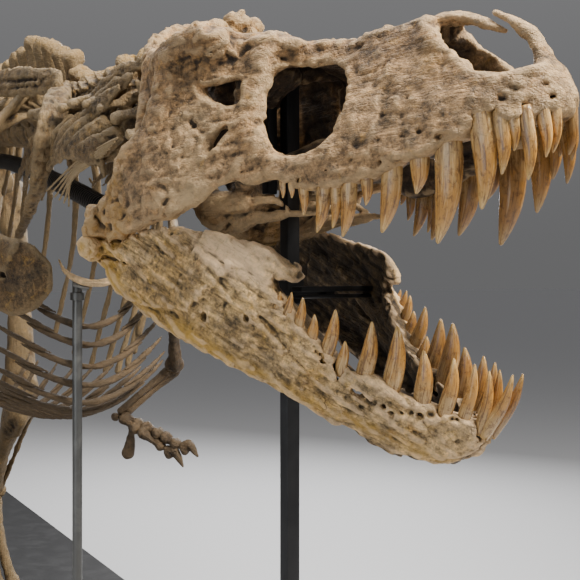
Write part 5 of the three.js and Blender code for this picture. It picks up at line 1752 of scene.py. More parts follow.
@dataclass(frozen=True)
class Stretch:
    """A run of vertebrae of one plan, from the rear to the front."""

    name: str
    nodes: tuple[str, ...]
    ends: tuple[float, float]
    count: int
    rims: tuple[float, float]
    tall: tuple[float, float]
    thick: tuple[float, float]
    reach: tuple[float, float]
    lift: float = 0.0
    lean: float = 0.0
    chevron: tuple[float, float] = (0.0, 0.0)
    crowd: float = 0.0
    neck: bool = False
    step: float = 0.0112
    seed: int = 100

    def spots(self) -> list[Spot]:
        """Where each vertebra stands.

        Returns:
            One for each vertebra.
        """
        start, end = (np.searchsorted(SPINE[:, 0], x) / (len(SPINE) - 1) for x in self.ends)
        found = []
        for i in range(self.count):
            edges = [self.pace(i / self.count), self.pace((i + 1) / self.count)]
            middle = self.pace((i + 0.5) / self.count)
            at = mixed(start, end, middle) * (len(SPINE) - 1)
            centre = np.array([np.interp(at, np.arange(len(SPINE)), SPINE[:, k]) for k in range(3)])
            around = [SPINE[int(np.clip(at + d, 0, len(SPINE) - 1))] for d in (-60, 60)]
            long = (edges[1] - edges[0]) * (end - start) * SPINE_LONG
            found.append(Spot(centre, grain_axes(around[1] - around[0]), long, mixed(*self.rims, middle),
                              (i + 0.5) / self.count))
        return found

    def pace(self, t: float) -> float:
        """Share of the stretch's length passed at a share of its bones."""
        return (1 - self.crowd) * t + self.crowd * t * t

    def paired(self, v: Spot, reach: float, hang: float) -> list[Bar | Ball]:
        """Left half of what a vertebra has two of.

        Args:
            v: where the vertebra stands.
            reach: how far its wing reaches out.
            hang: length of the bone that hangs below it, or 0.

        Returns:
            Side of the arch, wing, two joint prongs, hollows, hanging bone, and lumps of the neck.
        """
        r, long = v.radius, v.long
        end_z = 0.5 * r + self.lift
        root, middle = (0, 0.4 * r, 1.05 * r), (mixed(0.4 * r, reach, 0.5), mixed(1.05 * r, end_z, 0.6))
        parts = [
            Bar([(0, 0.6 * r, 0.55 * r), (0, 0.5 * r, 1.05 * r), (0, 0.12 * r, 1.45 * r)],
                [(0.17 * r, 0.3 * long), (0.14 * r, 0.26 * long), (0.2 * r, 0.3 * long)], AHEAD, 0.012, 6),
            Bar([root, (-0.06 * long, *middle), (-0.1 * long, reach - 0.02, end_z)],
                [(0.34 * long, 0.22 * r), (0.2 * long, 0.14 * r), (0.2 * long, 0.13 * r),
                (0.26 * long, 0.2 * r)], steps=8),
            Bar([(0.15 * long, 0.36 * r, 1.2 * r), (0.6 * long, 0.5 * r, 1.34 * r)],
                [(0.16 * r, 0.1 * r), (0.17 * r, 0.07 * r)], UP, 0.014, 3),
            Bar([(-0.15 * long, 0.3 * r, 1.35 * r), (-0.56 * long, 0.46 * r, 1.52 * r)],
                [(0.15 * r, 0.1 * r), (0.16 * r, 0.07 * r)], UP, 0.014, 3),
        ]
        if r > LARGE_BONE:
            ledge = (-0.02 * long, mixed(r, reach, 0.4), mixed(0.8 * r, end_z, 0.4))
            parts += [
                Ball((0.05 * long, 0.86 * r, 0.1 * r), (0.16 * long, 0.2 * r, 0.2 * r), 0.008, cut=True),
                Bar([(0.05 * long, 0.8 * r, 0.75 * r), ledge], [(0.02, 0.1 * r)] * 2, UP, 0.014, 3),
            ]
        if hang:
            fork = (-0.4 * long - 0.12 * hang, 0.02, -0.5 * r - 0.34 * hang)
            tip = (-0.3 * long - 0.45 * hang, 0, -0.5 * r - hang)
            parts.append(Bar([(-0.45 * long, 0.32 * r, -0.86 * r), fork, tip],
                mm((12, 20), (12, 18), (11, 22), (12, 30)), AHEAD, 0.008, 8))
        if self.neck and r > LARGE_BONE:
            parts += [
                Bar([(-0.2 * long, 0.42 * r, 1.5 * r), (-0.6 * long, 0.66 * r, 1.85 * r)],
                    mm((34, 12), (12, 4)), steps=3),
                Bar([(0.1 * long, 0.75 * r, -0.3 * r), (0.05 * long, 1.25 * r, -0.55 * r)],
                    mm((24, 30), (20, 26)), steps=3),
            ]
        return parts

    def bone(self, v: Spot, seed: int) -> Skin:
        """One vertebra with its arch, spine, wings and joints.

        Args:
            v: where it stands.
            seed: which unevenness.

        Returns:
            Its mesh, in its own axes.
        """
        r, long = v.radius, v.long
        tall, thick, reach = (mixed(*pair, v.share) for pair in (self.tall, self.thick, self.reach))
        hang = mixed(*self.chevron, v.share)
        dice = np.random.default_rng(seed)
        tall *= 1 + 0.05 * dice.uniform(-1, 1)
        thick *= 1 + 0.14 * dice.uniform(-1, 1)
        if self is TRUNK:
            tall += 0.105 * bump(v.share, 0.68, 0.2)
        low = (-0.62 * long - self.lean * tall - 0.5 * hang, -max(reach, r) - 0.03, -r - 0.03 - hang)
        clay = Clay(low, (0.78 * long, max(reach, r) + 0.03, r + tall + 0.03), self.step)
        half = 0.478 * long

        def centrum(x: Array, y: Array, z: Array) -> Array:
            """Spool with dished ends.

            Args:
                x: coordinates ahead.
                y: to the left.
                z: up.

            Returns:
                The distances.
            """
            out = np.sqrt(y * y + (z * (1 + 0.1 * (z < 0))) ** 2)
            waist = r * (0.77 + 0.23 * clamp(np.abs(x) / half) ** 2.5)
            return soft_max(out - waist, np.abs(x) - half + 0.012 * np.exp(-((out / (0.55 * r)) ** 2)),
                0.014)

        clay.add(centrum, (-long, -2 * r, -2 * r), (long, 2 * r, 2 * r), 0.01)
        lean = self.lean * tall
        clay.bar([(0, 0, 1.2 * r), (-0.5 * lean, 0, r + 0.5 * tall), (-lean, 0, r + tall - thick)],
            [(0.9 * thick, 0.36 * long), (0.5 * thick, 0.27 * long), (0.6 * thick, 0.3 * long),
            (1.15 * thick, 0.36 * long)], AHEAD, 0.02, 8)
        for part in [part.beside(side) for side in (1, -1) for part in self.paired(v, reach, hang)]:
            part.put(clay)
        clay.bar([(-long, 0, 1.02 * r), (long, 0, 1.02 * r)], [(0.21 * r, 0.21 * r)] * 2, UP, 0.006, 1,
            cut=True)
        knobs = Noise(seed + 900)

        def crust(places: Array) -> Array:
            """Rough top of the spine and upright ridges on its sides.

            Args:
                places: rows of x, y and z.

            Returns:
                One height for each place.
            """
            top = ramp(places[:, 2], r + tall - 0.07, r + tall - 0.01)
            ridges = ramp(places[:, 2], 1.5 * r, 1.9 * r) * knobs.at(places, (0.022, 0.03, 0.16))
            return ((0.011 if self.neck or self is TRUNK else 0.006) * top * knobs.at(places, 0.028)
                + min(0.004, 0.1 * r) * ridges)

        scale = min(1.0, r / LARGE_BONE)
        rough = Grain(0.0038 * scale, 0.0022 * scale, 0.0016 * scale, 0.001 * scale, crease=0.0042 * scale)
        clay.roughen(Noise(seed), rough, crust)
        skin = clay.skin()
        top = ramp(skin.points[:, 2], r + tall - 0.06, r + tall)
        skin.masks["ochre"] = 0.75 * top
        skin.masks["pale"] = 0.5 * ramp(np.abs(skin.points[:, 1]), reach - 0.05, reach)
        skin.rest = skin.points + seed * 0.37
        return skin

    def build(self, workshop: Workshop) -> None:
        """Makes the stretch as one piece.

        Args:
            workshop: dresses the piece.
        """
        skins = [self.bone(v, self.seed + i).moved(v.centre, v.axes) for i, v in enumerate(self.spots())]
        for skin in skins:
            # Painted shade: hollows are darkened in the shader by this mask.
            skin.masks["hollow"] = hollows_of(skin.points, skin.faces) / LARGE_HOLLOW
        workshop.dress(self.name, merged(filled(skins)), Slot.BODY, self.nodes)


def filled(skins: list[Skin]) -> list[Skin]:
    """Gives every mesh of a list the same masks.

    Args:
        skins: the meshes.

    Returns:
        The same list.
    """
    names = {name for skin in skins for name in skin.masks}
    for skin in skins:
        for name in names:
            skin.masks.setdefault(name, np.zeros(len(skin.points)))
    return skins


TRUNK = Stretch("backbone_trunk", ("trunk_left", "trunk_right"), (0.46, 2.54), 13, (0.104, 0.096),
    (0.205, 0.195), (0.026, 0.04), (0.185, 0.185), lift=0.088, lean=0.05, seed=200)
STRETCHES = (
    Stretch("tail_tip_bones", ("tail_tip",), (-5.995, -4.4), 12, (0.015, 0.042), (0.004, 0.014),
        (0.006, 0.007), (0.018, 0.045), lean=0.5, crowd=-0.15, step=0.0055, seed=110),
    Stretch("tail_middle_bones", ("tail_middle",), (-4.4, -2.35), 12, (0.043, 0.068), (0.04, 0.125),
        (0.012, 0.013), (0.046, 0.105), lift=-0.018, lean=0.4, chevron=(0.07, 0.19), step=0.008, seed=130),
    Stretch("tail_base_bones", ("tail_base",), (-2.35, -0.46), 12, (0.069, 0.10), (0.14, 0.29),
        (0.017, 0.019), (0.12, 0.2), lean=0.25, chevron=(0.22, 0.33), step=0.011, seed=150),
    Stretch("sacrum_bones", ("sacrum",), (-0.46, 0.46), 5, (0.102, 0.104), (0.19, 0.19), (0.03, 0.03),
        (0.15, 0.15), lift=0.01, step=0.012, seed=170),
    TRUNK,
    Stretch("neck_back_bones", ("neck_back",), (2.54, 3.06), 5, (0.096, 0.09), (0.145, 0.095),
        (0.046, 0.04), (0.205, 0.172), neck=True, step=0.0066, seed=220),
    Stretch("neck_front_bones", ("neck_front",), (3.06, 3.545), 5, (0.09, 0.079), (0.085, 0.235),
        (0.038, 0.032), (0.172, 0.13), neck=True, step=0.0064, seed=230),
)


class RibCage:
    """Ribs of the trunk and neck, belly ribs and wishbone."""

    BELLY = smooth_line(mm((2716, 0, 1960), (2718, 0, 1800), (2664, 0, 1665), (2450, 0, 1600),
        (1900, 0, 1555), (1500, 0, 1540), (1190, 0, 1550)), 400)

    def rib(self, v: Spot, order: int, side: int) -> Skin:
        """One two-headed rib.

        Args:
            v: the vertebra that carries it.
            order: which, 0 at the front.
            side: 1 on the left, -1 on the right.

        Returns:
            Its mesh.
        """
        s = order / 11
        half = 0.25 + 0.3 * math.sin(math.pi * min(1.12 * s + 0.12, 1)) ** 0.8 - 0.09 * s
        drop = 0.62 + 0.52 * math.sin(math.pi * min(0.12 + 0.8 * s, 1)) - 0.42 * s**3
        sweep = 0.11 + 0.17 * math.sin(math.pi * s) - 0.06 * s**2

        def at(x: float, y: float, z: float) -> Array:
            """Place beside the vertebra's middle."""
            return v.centre + np.array([x, side * y, z])

        bend = at(-0.2 * sweep, mixed(0.185, half, 0.75), 0.02 - 0.1 * drop)
        parts = [
            Bar([at(0, 0.175, 0.5 * v.radius + 0.084), bend, at(-0.65 * sweep, half, -0.5 * drop),
                at(-sweep, 0.8 * half, -drop)], mm((22, 34), (20, 36), (15, 32), (13, 28), (12, 24),
                (11, 22), (13, 20)), AHEAD, steps=22),
            Bar([at(0.02, 0.105, 0.2 * v.radius), at(0.0, 0.15, 0.5 * v.radius),
                mixed(at(0, 0.15, 0.13), bend, 0.8)], mm((18, 24), (13, 20), (14, 26)), AHEAD, steps=6),
            Bar([mixed(at(0, 0.15, 0.13), bend, 0.7) + AHEAD * 0.012,
                at(-0.5 * sweep + 0.016, half + 0.004, -0.36 * drop)], mm((8, 6), (5, 4)), AHEAD, steps=6),
        ]
        return sculpt(parts, 0.0099, 300 + order * 2 + side, Grain(0.003, 0.0016, 0.0012, 0.0015), -UP)

    def neck_rib(self, v: Spot, side: int, seed: int) -> Skin:
        """Rib of the neck: a forked blade that thins to a rod and points back.

        Args:
            v: the vertebra that carries it.
            side: 1 on the left, -1 on the right.
            seed: which unevenness.

        Returns:
            Its mesh.
        """
        long = mixed(0.46, 0.36, v.share)
        parts = [
            Bar([v.out(0.02, side * 0.12, 0.0), v.out(-0.02, side * 0.165, -0.07),
                v.out(-0.48 * long, side * 0.17, -0.15), v.out(-long, side * 0.15, -0.25)],
                mm((16, 30), (12, 50), (9, 40), (7, 24), (6, 10), (5, 5)), UP, 0.012, 16),
            Bar([v.out(0.01, side * 0.1, -0.06), v.out(-0.01, side * 0.15, -0.1)], mm((16, 20), (14, 22)),
                UP, 0.012, 2),
            Bar([v.out(-0.01, side * 0.16, -0.08), v.out(0.055, side * 0.15, -0.13)], mm((14, 22), (6, 7)),
                UP, 0.012, 3),
        ]
        rough = Grain(0.0044, 0.0024, 0.0024, 0.001, 0.8, crease=0.005)
        return sculpt(parts, 0.0058, seed, rough, v.out(-1, 0, -0.5) - v.centre)

    def neck_plates(self, side: int) -> list[Skin]:
        """Broad first rib, the plate behind it, the long bars above, and thin rods below, of one side.

        Args:
            side: 1 on the left, -1 on the right.

        Returns:
            Their meshes.
        """
        rough = Grain(0.005, 0.0024, 0.003, 0.001, 0.8, crease=0.005)

        def at(x: float, y: float, z: float) -> Place:
            """Place on one side."""
            return (x, side * y, z)

        made = [
            sculpt([Bar([at(2.72, 0.1, 2.84), at(2.86, 0.16, 2.78), at(2.92, 0.205, 2.66),
                at(2.87, 0.22, 2.53), at(2.74, 0.22, 2.42), at(2.5, 0.215, 2.3)],
                mm((24, 34), (24, 50), (20, 46), (16, 30), (13, 22), (9, 14)), LEFTWARD, 0.02, 24)], 0.006,
                370, rough, UP),
            sculpt([Bar([at(2.8, 0.14, 2.85), at(2.5, 0.2, 2.89), at(2.15, 0.235, 2.93)],
                mm((16, 45), (17, 60), (14, 50))),
                Bar([at(2.8, 0.165, 2.862), at(2.2, 0.255, 2.93)], mm((6, 5)) * 2, UP, 0.008, cut=True),
                Bar([at(2.8, 0.165, 2.838), at(2.2, 0.255, 2.9)], mm((6, 4)) * 2, UP, 0.008, cut=True)],
                0.006, 372, rough),
        ]
        for i, (z, long) in enumerate(mm((2800, 520), (2755, 400), (2720, 460))):
            ends = [at(3.53 - 0.05 * i, 0.055 + 0.03 * i, z + 0.02), at(3.3, 0.1 + 0.02 * i, z - 0.02),
                at(3.53 - long, 0.11 + 0.03 * i, z - 0.07)]
            made.append(sculpt([Bar(ends, mm((6, 12), (10, 36), (9, 30), (4, 6)))], 0.0054, 374 + i, rough))
        for i in range(6):
            rod = [at(3.57 - 0.03 * i, 0.165, 2.565 - 0.008 * i),
                at(3.25 - 0.01 * i, 0.185 + 0.004 * i, 2.53 - 0.014 * i),
                at(2.8 + 0.06 * i, 0.185, 2.455 - 0.014 * i)]
            made.append(sculpt([Bar(rod, mm((4.5, 4.5), (5, 5), (3.5, 3.5)))], 0.0026, 380 + i,
                Grain(0.0005, 0.0004, 0.0003, 0)))
            made[-1].masks["pale"] = np.full(len(made[-1].points), 1.0)
        return made

    def belly_rib(self, share: float, side: int, outer: bool, seed: int) -> Skin:
        """One rod of a belly row: the inner one crosses the middle, and the outer one lies along it.

        Args:
            share: place in the row of rows, 0 at the front.
            side: 1 on the left, -1 on the right.
            outer: whether it is the outer rod.
            seed: which unevenness.

        Returns:
            Its mesh.
        """
        centre = self.BELLY[int(share * (len(self.BELLY) - 1))]
        half = 0.16 + 0.255 * math.sin(math.pi * min(0.9 * share + 0.16, 1))
        rise, back = 0.15 + 0.04 * share, mixed(0.19, 0.09, share)
        reach = np.linspace(0.42, 1.0, 6) if outer else np.linspace(-0.1, 0.72, 7)
        shift = np.array([0.004, 0, 0.016]) if outer else np.array([0.006 * side, 0, 0])
        line = [centre + shift + (-back * k * k, side * half * k, rise * abs(k) ** 1.6) for k in reach]
        rod = mm((4, 5), (9.5, 11), (10.5, 12), (8.5, 10), (4, 4))
        if not outer:
            rod = mm((6, 7), (15, 17), (12.5, 14), (10.5, 12), (4.5, 5))
        return sculpt([Bar(line, rod, AHEAD, 0.01, 12)], 0.0062, seed, Grain(0.002, 0.0012, 0.0008, 0.001),
            LEFTWARD)

    def build(self, workshop: Workshop) -> None:
        """Makes every rib.

        Args:
            workshop: dresses the pieces.
        """
        spots = TRUNK.spots()[::-1][:12]
        for side, name in ((1, "left"), (-1, "right")):
            workshop.dress(f"ribs_{name}", merged([self.rib(v, k, side) for k, v in enumerate(spots)]),
                Slot.BODY)
        carriers = STRETCHES[-2].spots() + STRETCHES[-1].spots()[:4]
        necks = [self.neck_rib(v, side, 340 + 2 * i + (side > 0)) for i, v in enumerate(carriers)
            for side in (1, -1)]
        plates = filled(self.neck_plates(1) + self.neck_plates(-1))
        workshop.dress("ribs_neck", merged(necks), Slot.BODY)
        workshop.dress("plates_neck", merged(plates), Slot.BODY)
        shares = (*(i / 12 for i in range(13)), 0.04, 0.125, 0.21, 0.29)
        rows = [self.belly_rib(share, side, outer, 400 + i * 4 + (side > 0) * 2 + outer)
                for i, share in enumerate(shares) for side in (1, -1) for outer in (False, True)]
        workshop.dress("belly_ribs", merged(rows), Slot.DARK, ["gastralia"])
        wish = Bar(mm((2760, -130, 2212), (2775, -108, 2165), (2788, -55, 2132), (2792, 0, 2124),
            (2788, 55, 2132), (2775, 108, 2165), (2760, 130, 2212)),
            mm((3, 4), (10, 12), (14, 17), (16, 19), (14, 17), (10, 12), (3, 4)), AHEAD, steps=24)
        workshop.dress("wishbone", sculpt([wish], 0.0045, 460, Grain(0.0016, 0.001, 0.0006, 0.001),
            LEFTWARD), Slot.JAW, ["furcula"])


# ---- Limbs


def digit(points: Points, joints: Row, sizes: Row, seed: int, step: float, claw: float) -> list[Skin]:
    """Bones of a finger or toe, the last one a claw.

    Args:
        points: places on the line along it.
        joints: shares of the line where the bones meet, from 0 to 1.
        sizes: half width of the bone ends at each joint.
        seed: which unevenness.
        step: grid spacing.
        claw: how far the claw arches, in metres.

    Returns:
        One mesh for each bone.
    """
    line = smooth_line(points, 100)
    made = []
    for i, (a, b) in enumerate(zip(joints, joints[1:])):
        first, last = line[int(a * 99)], line[int(b * 99)]
        ahead = (last - first) / np.linalg.norm(last - first)
        first, last = first + ahead * 0.003, last - ahead * 0.003
        r0, r1 = sizes[i], sizes[i + 1]
        if i == len(joints) - 2:
            middle = mixed(first, last, 0.5) + UP * claw
            parts = [
                Bar([first + ahead * 0.7 * r0, middle, last],
                    [(0.75 * r0, r0), (0.62 * r0, 0.85 * r0), (0.4 * r0, 0.55 * r0), (0.004, 0.005)], UP,
                    0.01, 12),
                Ball(first + ahead * r0 * 0.8 - UP * 0.6 * r0, (0.6 * r0, 0.5 * r0, 0.5 * r0), 0.01),
            ]
        else:
            side = np.cross(UP, ahead)
            parts = [
                Bar([first + ahead * 0.6 * r0, mixed(first, last, 0.5), last - ahead * 0.6 * r1],
                    [(r0, r0 * 0.92), (0.66 * r0, 0.6 * r0), (0.66 * r1, 0.58 * r1), (0.8 * r1, 0.8 * r1)],
                    UP, 0.012, 8),
                Ball(last - ahead * 0.8 * r1 + side * 0.5 * r1, (0.62 * r1, 0.5 * r1, 0.78 * r1), 0.01),
                Ball(last - ahead * 0.8 * r1 - side * 0.5 * r1, (0.62 * r1, 0.5 * r1, 0.78 * r1), 0.01),
            ]
        scale = min(1.0, r0 / 0.04)
        made.append(sculpt(parts, step, seed + i,
            Grain(0.003 * scale, 0.0014 * scale, 0.0008, 0.0014 * scale, 0.8), ahead))
    return made


@dataclass
class Arm:
    """Shoulder blade, arm and hand of one side."""

    name: str
    side: int
    shoulder: Place
    elbow: Place
    wrist: Place
    palm: Place
    tips: Points
    spur: Place

    @property
    def seed(self) -> int:
        """First seed of this side."""
        return 500 + 20 * self.side

    def build(self, workshop: Workshop) -> None:
        """Makes this side.

        Args:
            workshop: dresses the pieces.
        """
        shoulder, elbow, wrist, palm = map(np.asarray, (self.shoulder, self.elbow, self.wrist, self.palm))
        self.make_blade(workshop)
        self.make_upper_arm(workshop, shoulder, elbow)
        self.make_forearm(workshop, elbow, wrist)
        self.make_hand(workshop, wrist - elbow, wrist, palm)

    def make_blade(self, workshop: Workshop) -> None:
        """Makes the shoulder blade with its socket and rounded front plate.

        Args:
            workshop: dresses the piece.
        """

        def at(x: float, y: float, z: float) -> Place:
            """Place on this side."""
            return (x, self.side * y, z)

        blade = [
            Bar([at(2.73, 0.3, 2.19), at(2.56, 0.385, 2.29), at(2.3, 0.47, 2.44), at(1.96, 0.51, 2.61),
                at(1.78, 0.485, 2.69)], mm((26, 92), (22, 60), (17, 48), (14, 46), (12, 56), (9, 98)),
                steps=24),
            Bar([at(2.64, 0.345, 2.145), at(2.755, 0.27, 2.145), at(2.81, 0.175, 2.15)],
                mm((32, 90), (28, 125), (26, 140), (22, 135), (18, 115), (12, 60)), steps=20),
            Ball(at(2.64, 0.35, 2.09), (0.05, 0.036, 0.045), 0.03),
            Bar([at(2.62, 0.355, 2.24), at(2.7, 0.33, 2.27)], mm((20, 30), (20, 22))),
            Ball(at(2.718, 0.305, 2.155), (0.012, 0.06, 0.012), 0.006, cut=True),
            Ball(at(2.628, 0.372, 2.052), (0.04, 0.05, 0.03), 0.01, cut=True),
        ]
        skin = sculpt(blade, 0.0062, self.seed, Grain(0.004, 0.0018, 0.0012, 0.002),
            np.array([-0.75, 0.0, 0.45]))
        skin.masks["dark"] = 0.6 * bump(skin.points[:, 0], 2.76, 0.05) * bump(skin.points[:, 2], 2.14, 0.07)
        workshop.dress(f"shoulder_blade_{self.name}", skin, Slot.BODY, [f"scapulocoracoid_{self.name}"])

    def make_upper_arm(self, workshop: Workshop, shoulder: Array, elbow: Array) -> None:
        """Makes the upper arm.

        Args:
            workshop: dresses the piece.
            shoulder: middle of the shoulder joint.
            elbow: middle of the elbow joint.
        """
        down = elbow - shoulder
        crest = shoulder + down * 0.24 + AHEAD * 0.04
        humerus = [
            Bar([shoulder - UP * 0.008, mixed(shoulder, elbow, 0.5), elbow - down * 0.05],
                mm((50, 32), (42, 30), (26, 23), (24, 22), (34, 26), (38, 28)), LEFTWARD),
            Bar([shoulder + down * 0.1 + AHEAD * 0.02, crest, shoulder + down * 0.4 + AHEAD * 0.016],
                mm((10, 14), (13, 16), (8, 10)), LEFTWARD),
            Ball(elbow - down * 0.06 + LEFTWARD * 0.02, (0.027, 0.02, 0.027)),
            Ball(elbow - down * 0.06 - LEFTWARD * 0.02, (0.027, 0.02, 0.027)),
        ]
        workshop.dress(f"upper_arm_{self.name}", sculpt(humerus, 0.0045, self.seed + 1,
            Grain(0.0026, 0.0013), down), Slot.DARK, [f"humerus_{self.name}"])

    def make_forearm(self, workshop: Workshop, elbow: Array, wrist: Array) -> None:
        """Makes both bones of the forearm.

        Args:
            workshop: dresses the piece.
            elbow: middle of the elbow joint.
            wrist: middle of the wrist.
        """
        run = wrist - elbow
        fore = []
        for k in (-1, 1):
            ends = [elbow + run * 0.08 + LEFTWARD * k * 0.017,
                mixed(elbow, wrist, 0.5) + LEFTWARD * k * 0.022, wrist - run * 0.1 + LEFTWARD * k * 0.018]
            parts = [Bar(ends, mm((20, 24), (13, 14), (12, 13), (17, 19)), LEFTWARD, 0.012)]
            if k == self.side:
                parts.append(Ball(elbow - run * 0.03 + LEFTWARD * k * 0.012, (0.018, 0.016, 0.02), 0.016))
            fore.append(sculpt(parts, 0.0042, self.seed + 3 + k, Grain(0.002, 0.0012), run))
        workshop.dress(f"forearm_bones_{self.name}", merged(fore), Slot.DARK, [f"forearm_{self.name}"])

    def make_hand(self, workshop: Workshop, run: Array, wrist: Array, palm: Array) -> None:
        """Makes the wrist, two fingers and the stub of a third.

        Args:
            workshop: dresses the piece.
            run: way from the elbow to the wrist.
            wrist: middle of the wrist.
            palm: place where the fingers part.
        """
        hand = [sculpt([Ball(wrist + run * 0.02 + LEFTWARD * k * 0.016, (0.02, 0.016, 0.017), 0.006)
            for k in (-1, 1)], 0.004, self.seed + 6)]
        for k, tip in enumerate(self.tips):
            tip = np.asarray(tip)
            base = palm + LEFTWARD * (-0.02 if k else 0.02)
            knuckle = mixed(palm, tip, 0.45) + UP * 0.012
            joints = (0.05, 0.3, 0.56, 0.78, 1.0) if k == 0 else (0.05, 0.36, 0.7, 1.0)
            ends = (0.028, 0.029, 0.028, 0.025, 0.014) if k == 0 else (0.026, 0.028, 0.026, 0.014)
            hand += digit([wrist, base, knuckle, tip], joints, ends, self.seed + 8 + 5 * k, 0.0042, 0.026)
        spur = [Bar([palm - UP * 0.01, np.asarray(self.spur)], mm((19, 20), (14, 15), (20, 21), (26, 24)),
            AHEAD, 0.012)]
        hand.append(sculpt(spur, 0.0042, self.seed + 20, Grain(0.003, 0.0018), -UP))
        workshop.dress(f"hand_bones_{self.name}", merged(hand), Slot.DARK, [f"hand_{self.name}"])


@dataclass
class Leg:
    """Hind leg of one side, from the hip to the toes."""

    name: str
    side: int
    ball: float
    lean: float
    femur: float = 1.28
    tibia: float = 1.15
    metatarsus: float = 0.64
    ground: float = SLAB_TOP

    ROUGH = Grain(0.0045, 0.002, 0.0014, 0.0026, 1.3)
    # Number of each toe, its length, the shares of it where its bones meet, and their half widths there.
    TOES = ((2, 0.5, (0.02, 0.42, 0.7, 1.0), (0.043, 0.038, 0.033, 0.01)),
        (3, 0.64, (0.02, 0.3, 0.54, 0.76, 1.0), (0.046, 0.042, 0.038, 0.033, 0.01)),
        (4, 0.54, (0.02, 0.26, 0.44, 0.6, 0.76, 1.0), (0.043, 0.039, 0.036, 0.034, 0.031, 0.01)))
    # Height of a toe above the slab at shares of its length.
    ARCH = ((0.3, 0.062), (0.62, 0.05), (0.84, 0.058), (1.0, 0.014))

    @property
    def seed(self) -> int:
        """First seed of this side."""
        return 600 + 30 * self.side

    def build(self, workshop: Workshop) -> None:
        """Makes this side.

        Args:
            workshop: dresses the pieces.
        """
        hip = np.array([0, self.side * 0.3, 2.68])
        knuckle = np.array([self.ball, self.side * 0.3, 0.205])
        lean = math.radians(self.lean)
        ankle = knuckle + np.array([-math.sin(lean), 0, math.cos(lean)]) * self.metatarsus
        knee = self.knee(hip, ankle)
        self.make_thigh(workshop, hip, knee)
        self.make_shank(workshop, knee, ankle)
        self.make_foot(workshop, ankle, knuckle)
        self.make_toes(workshop, knuckle)

    def make_thigh(self, workshop: Workshop, hip: Array, knee: Array) -> None:
        """Makes the thigh bone with its head, neck and knuckles.

        Args:
            workshop: dresses the piece.
            hip: top of the shaft.
            knee: middle of the knee joint.
        """
        side = self.side
        out = LEFTWARD * side
        head = np.array([0, side * 0.205, 2.716])
        down = (knee - hip) / np.linalg.norm(knee - hip)
        fore = np.cross(LEFTWARD, down) * -1
        parts = [
            Bar([hip + down * 0.02, mixed(hip, knee, 0.5) + (0.025, side * 0.022, 0), knee - down * 0.075],
                mm((70, 62), (78, 80), (64, 68), (60, 64), (70, 76), (82, 100)), LEFTWARD, 0.05, 20),
            Bar([head - out * 0.04, head, hip + out * 0.01 - UP * 0.03], mm((70, 70), (84, 84), (70, 80)),
                AHEAD, 0.04),
            Bar([hip + out * 0.055, hip + out * 0.065 + down * 0.2], mm((30, 50), (20, 40)), AHEAD, 0.04),
            Bar([hip + fore * 0.06 + out * 0.03 + UP * 0.04, hip + fore * 0.075 + out * 0.03 + down * 0.14],
                mm((22, 22), (20, 20)), AHEAD, 0.03),
            Bar([hip + down * 0.4 - fore * 0.07 - out * 0.02,
                hip + down * 0.56 - fore * 0.075 - out * 0.02], mm((16, 30), (12, 20)), AHEAD, 0.03),
        ]
        for k in (-1, 1):
            parts.append(Bar([knee - down * 0.12 - fore * 0.03 + out * k * 0.055,
                knee - down * 0.055 + out * k * 0.056, knee - down * 0.1 + fore * 0.05 + out * k * 0.045],
                mm((46, 50), (50, 50), (36, 40)), LEFTWARD, 0.03))
        parts.append(Bar([knee - down * 0.05 - fore * 0.14, knee + down * 0.03,
            knee - down * 0.04 + fore * 0.14], mm((16, 16)) * 3, LEFTWARD, 0.03, cut=True))
        workshop.dress(f"thigh_{self.name}", sculpt(parts, 0.011, self.seed, self.ROUGH, down), Slot.BODY,
            [f"femur_{self.name}"])

    def make_shank(self, workshop: Workshop, knee: Array, ankle: Array) -> None:
        """Makes the shin bones and the ankle bone.

        Args:
            workshop: dresses the piece.
            knee: middle of the knee joint.
            ankle: middle of the ankle joint.
        """
        side = self.side
        out = LEFTWARD * side
        run = (ankle - knee) / np.linalg.norm(ankle - knee)
        front = np.cross(LEFTWARD, run) * -1
        shin = mixed(knee, ankle, 0.5)
        tibia = [
            Bar([knee + run * 0.055, shin, ankle - run * 0.075],
                mm((100, 86), (58, 66), (47, 48), (50, 50), (60, 62), (52, 94)), LEFTWARD, 0.04, 20),
            Bar([knee + run * 0.03 + front * 0.09, knee + run * 0.12 + front * 0.11,
                knee + run * 0.32 + front * 0.05], mm((30, 22), (28, 22), (14, 14)), LEFTWARD, 0.04),
        ]
        ankle_bone = [
            Bar([ankle - run * 0.035 - out * 0.07, ankle - run * 0.035 + out * 0.07],
                mm((44, 44), (44, 44)), run, 0.02),
            Bar([ankle - run * 0.06 + front * 0.035, ankle - run * 0.24 + front * 0.042],
                mm((12, 55), (8, 12)), LEFTWARD, 0.02),
            Bar([ankle - run * 0.025 - front * 0.1, ankle + front * 0.1], mm((12, 12)) * 2, LEFTWARD, 0.02,
                cut=True),
        ]
        fibula = [Bar([mixed(knee, ankle, 0.035) + (-0.03, side * 0.092, 0), shin + (0.01, side * 0.08, 0),
            mixed(knee, ankle, 0.92) + (0.01, side * 0.074, 0)],
            mm((46, 26), (24, 18), (18, 15), (18, 14), (24, 20)), LEFTWARD, 0.02, 18)]
        shank = [
            sculpt(tibia, 0.0105, self.seed + 1, self.ROUGH, run),
            sculpt(ankle_bone, 0.009, self.seed + 2, self.ROUGH, out),
            sculpt(fibula, 0.009, self.seed + 3, self.ROUGH, run),
        ]
        workshop.dress(f"shank_bones_{self.name}", merged(shank), Slot.BODY, [f"shank_{self.name}"])

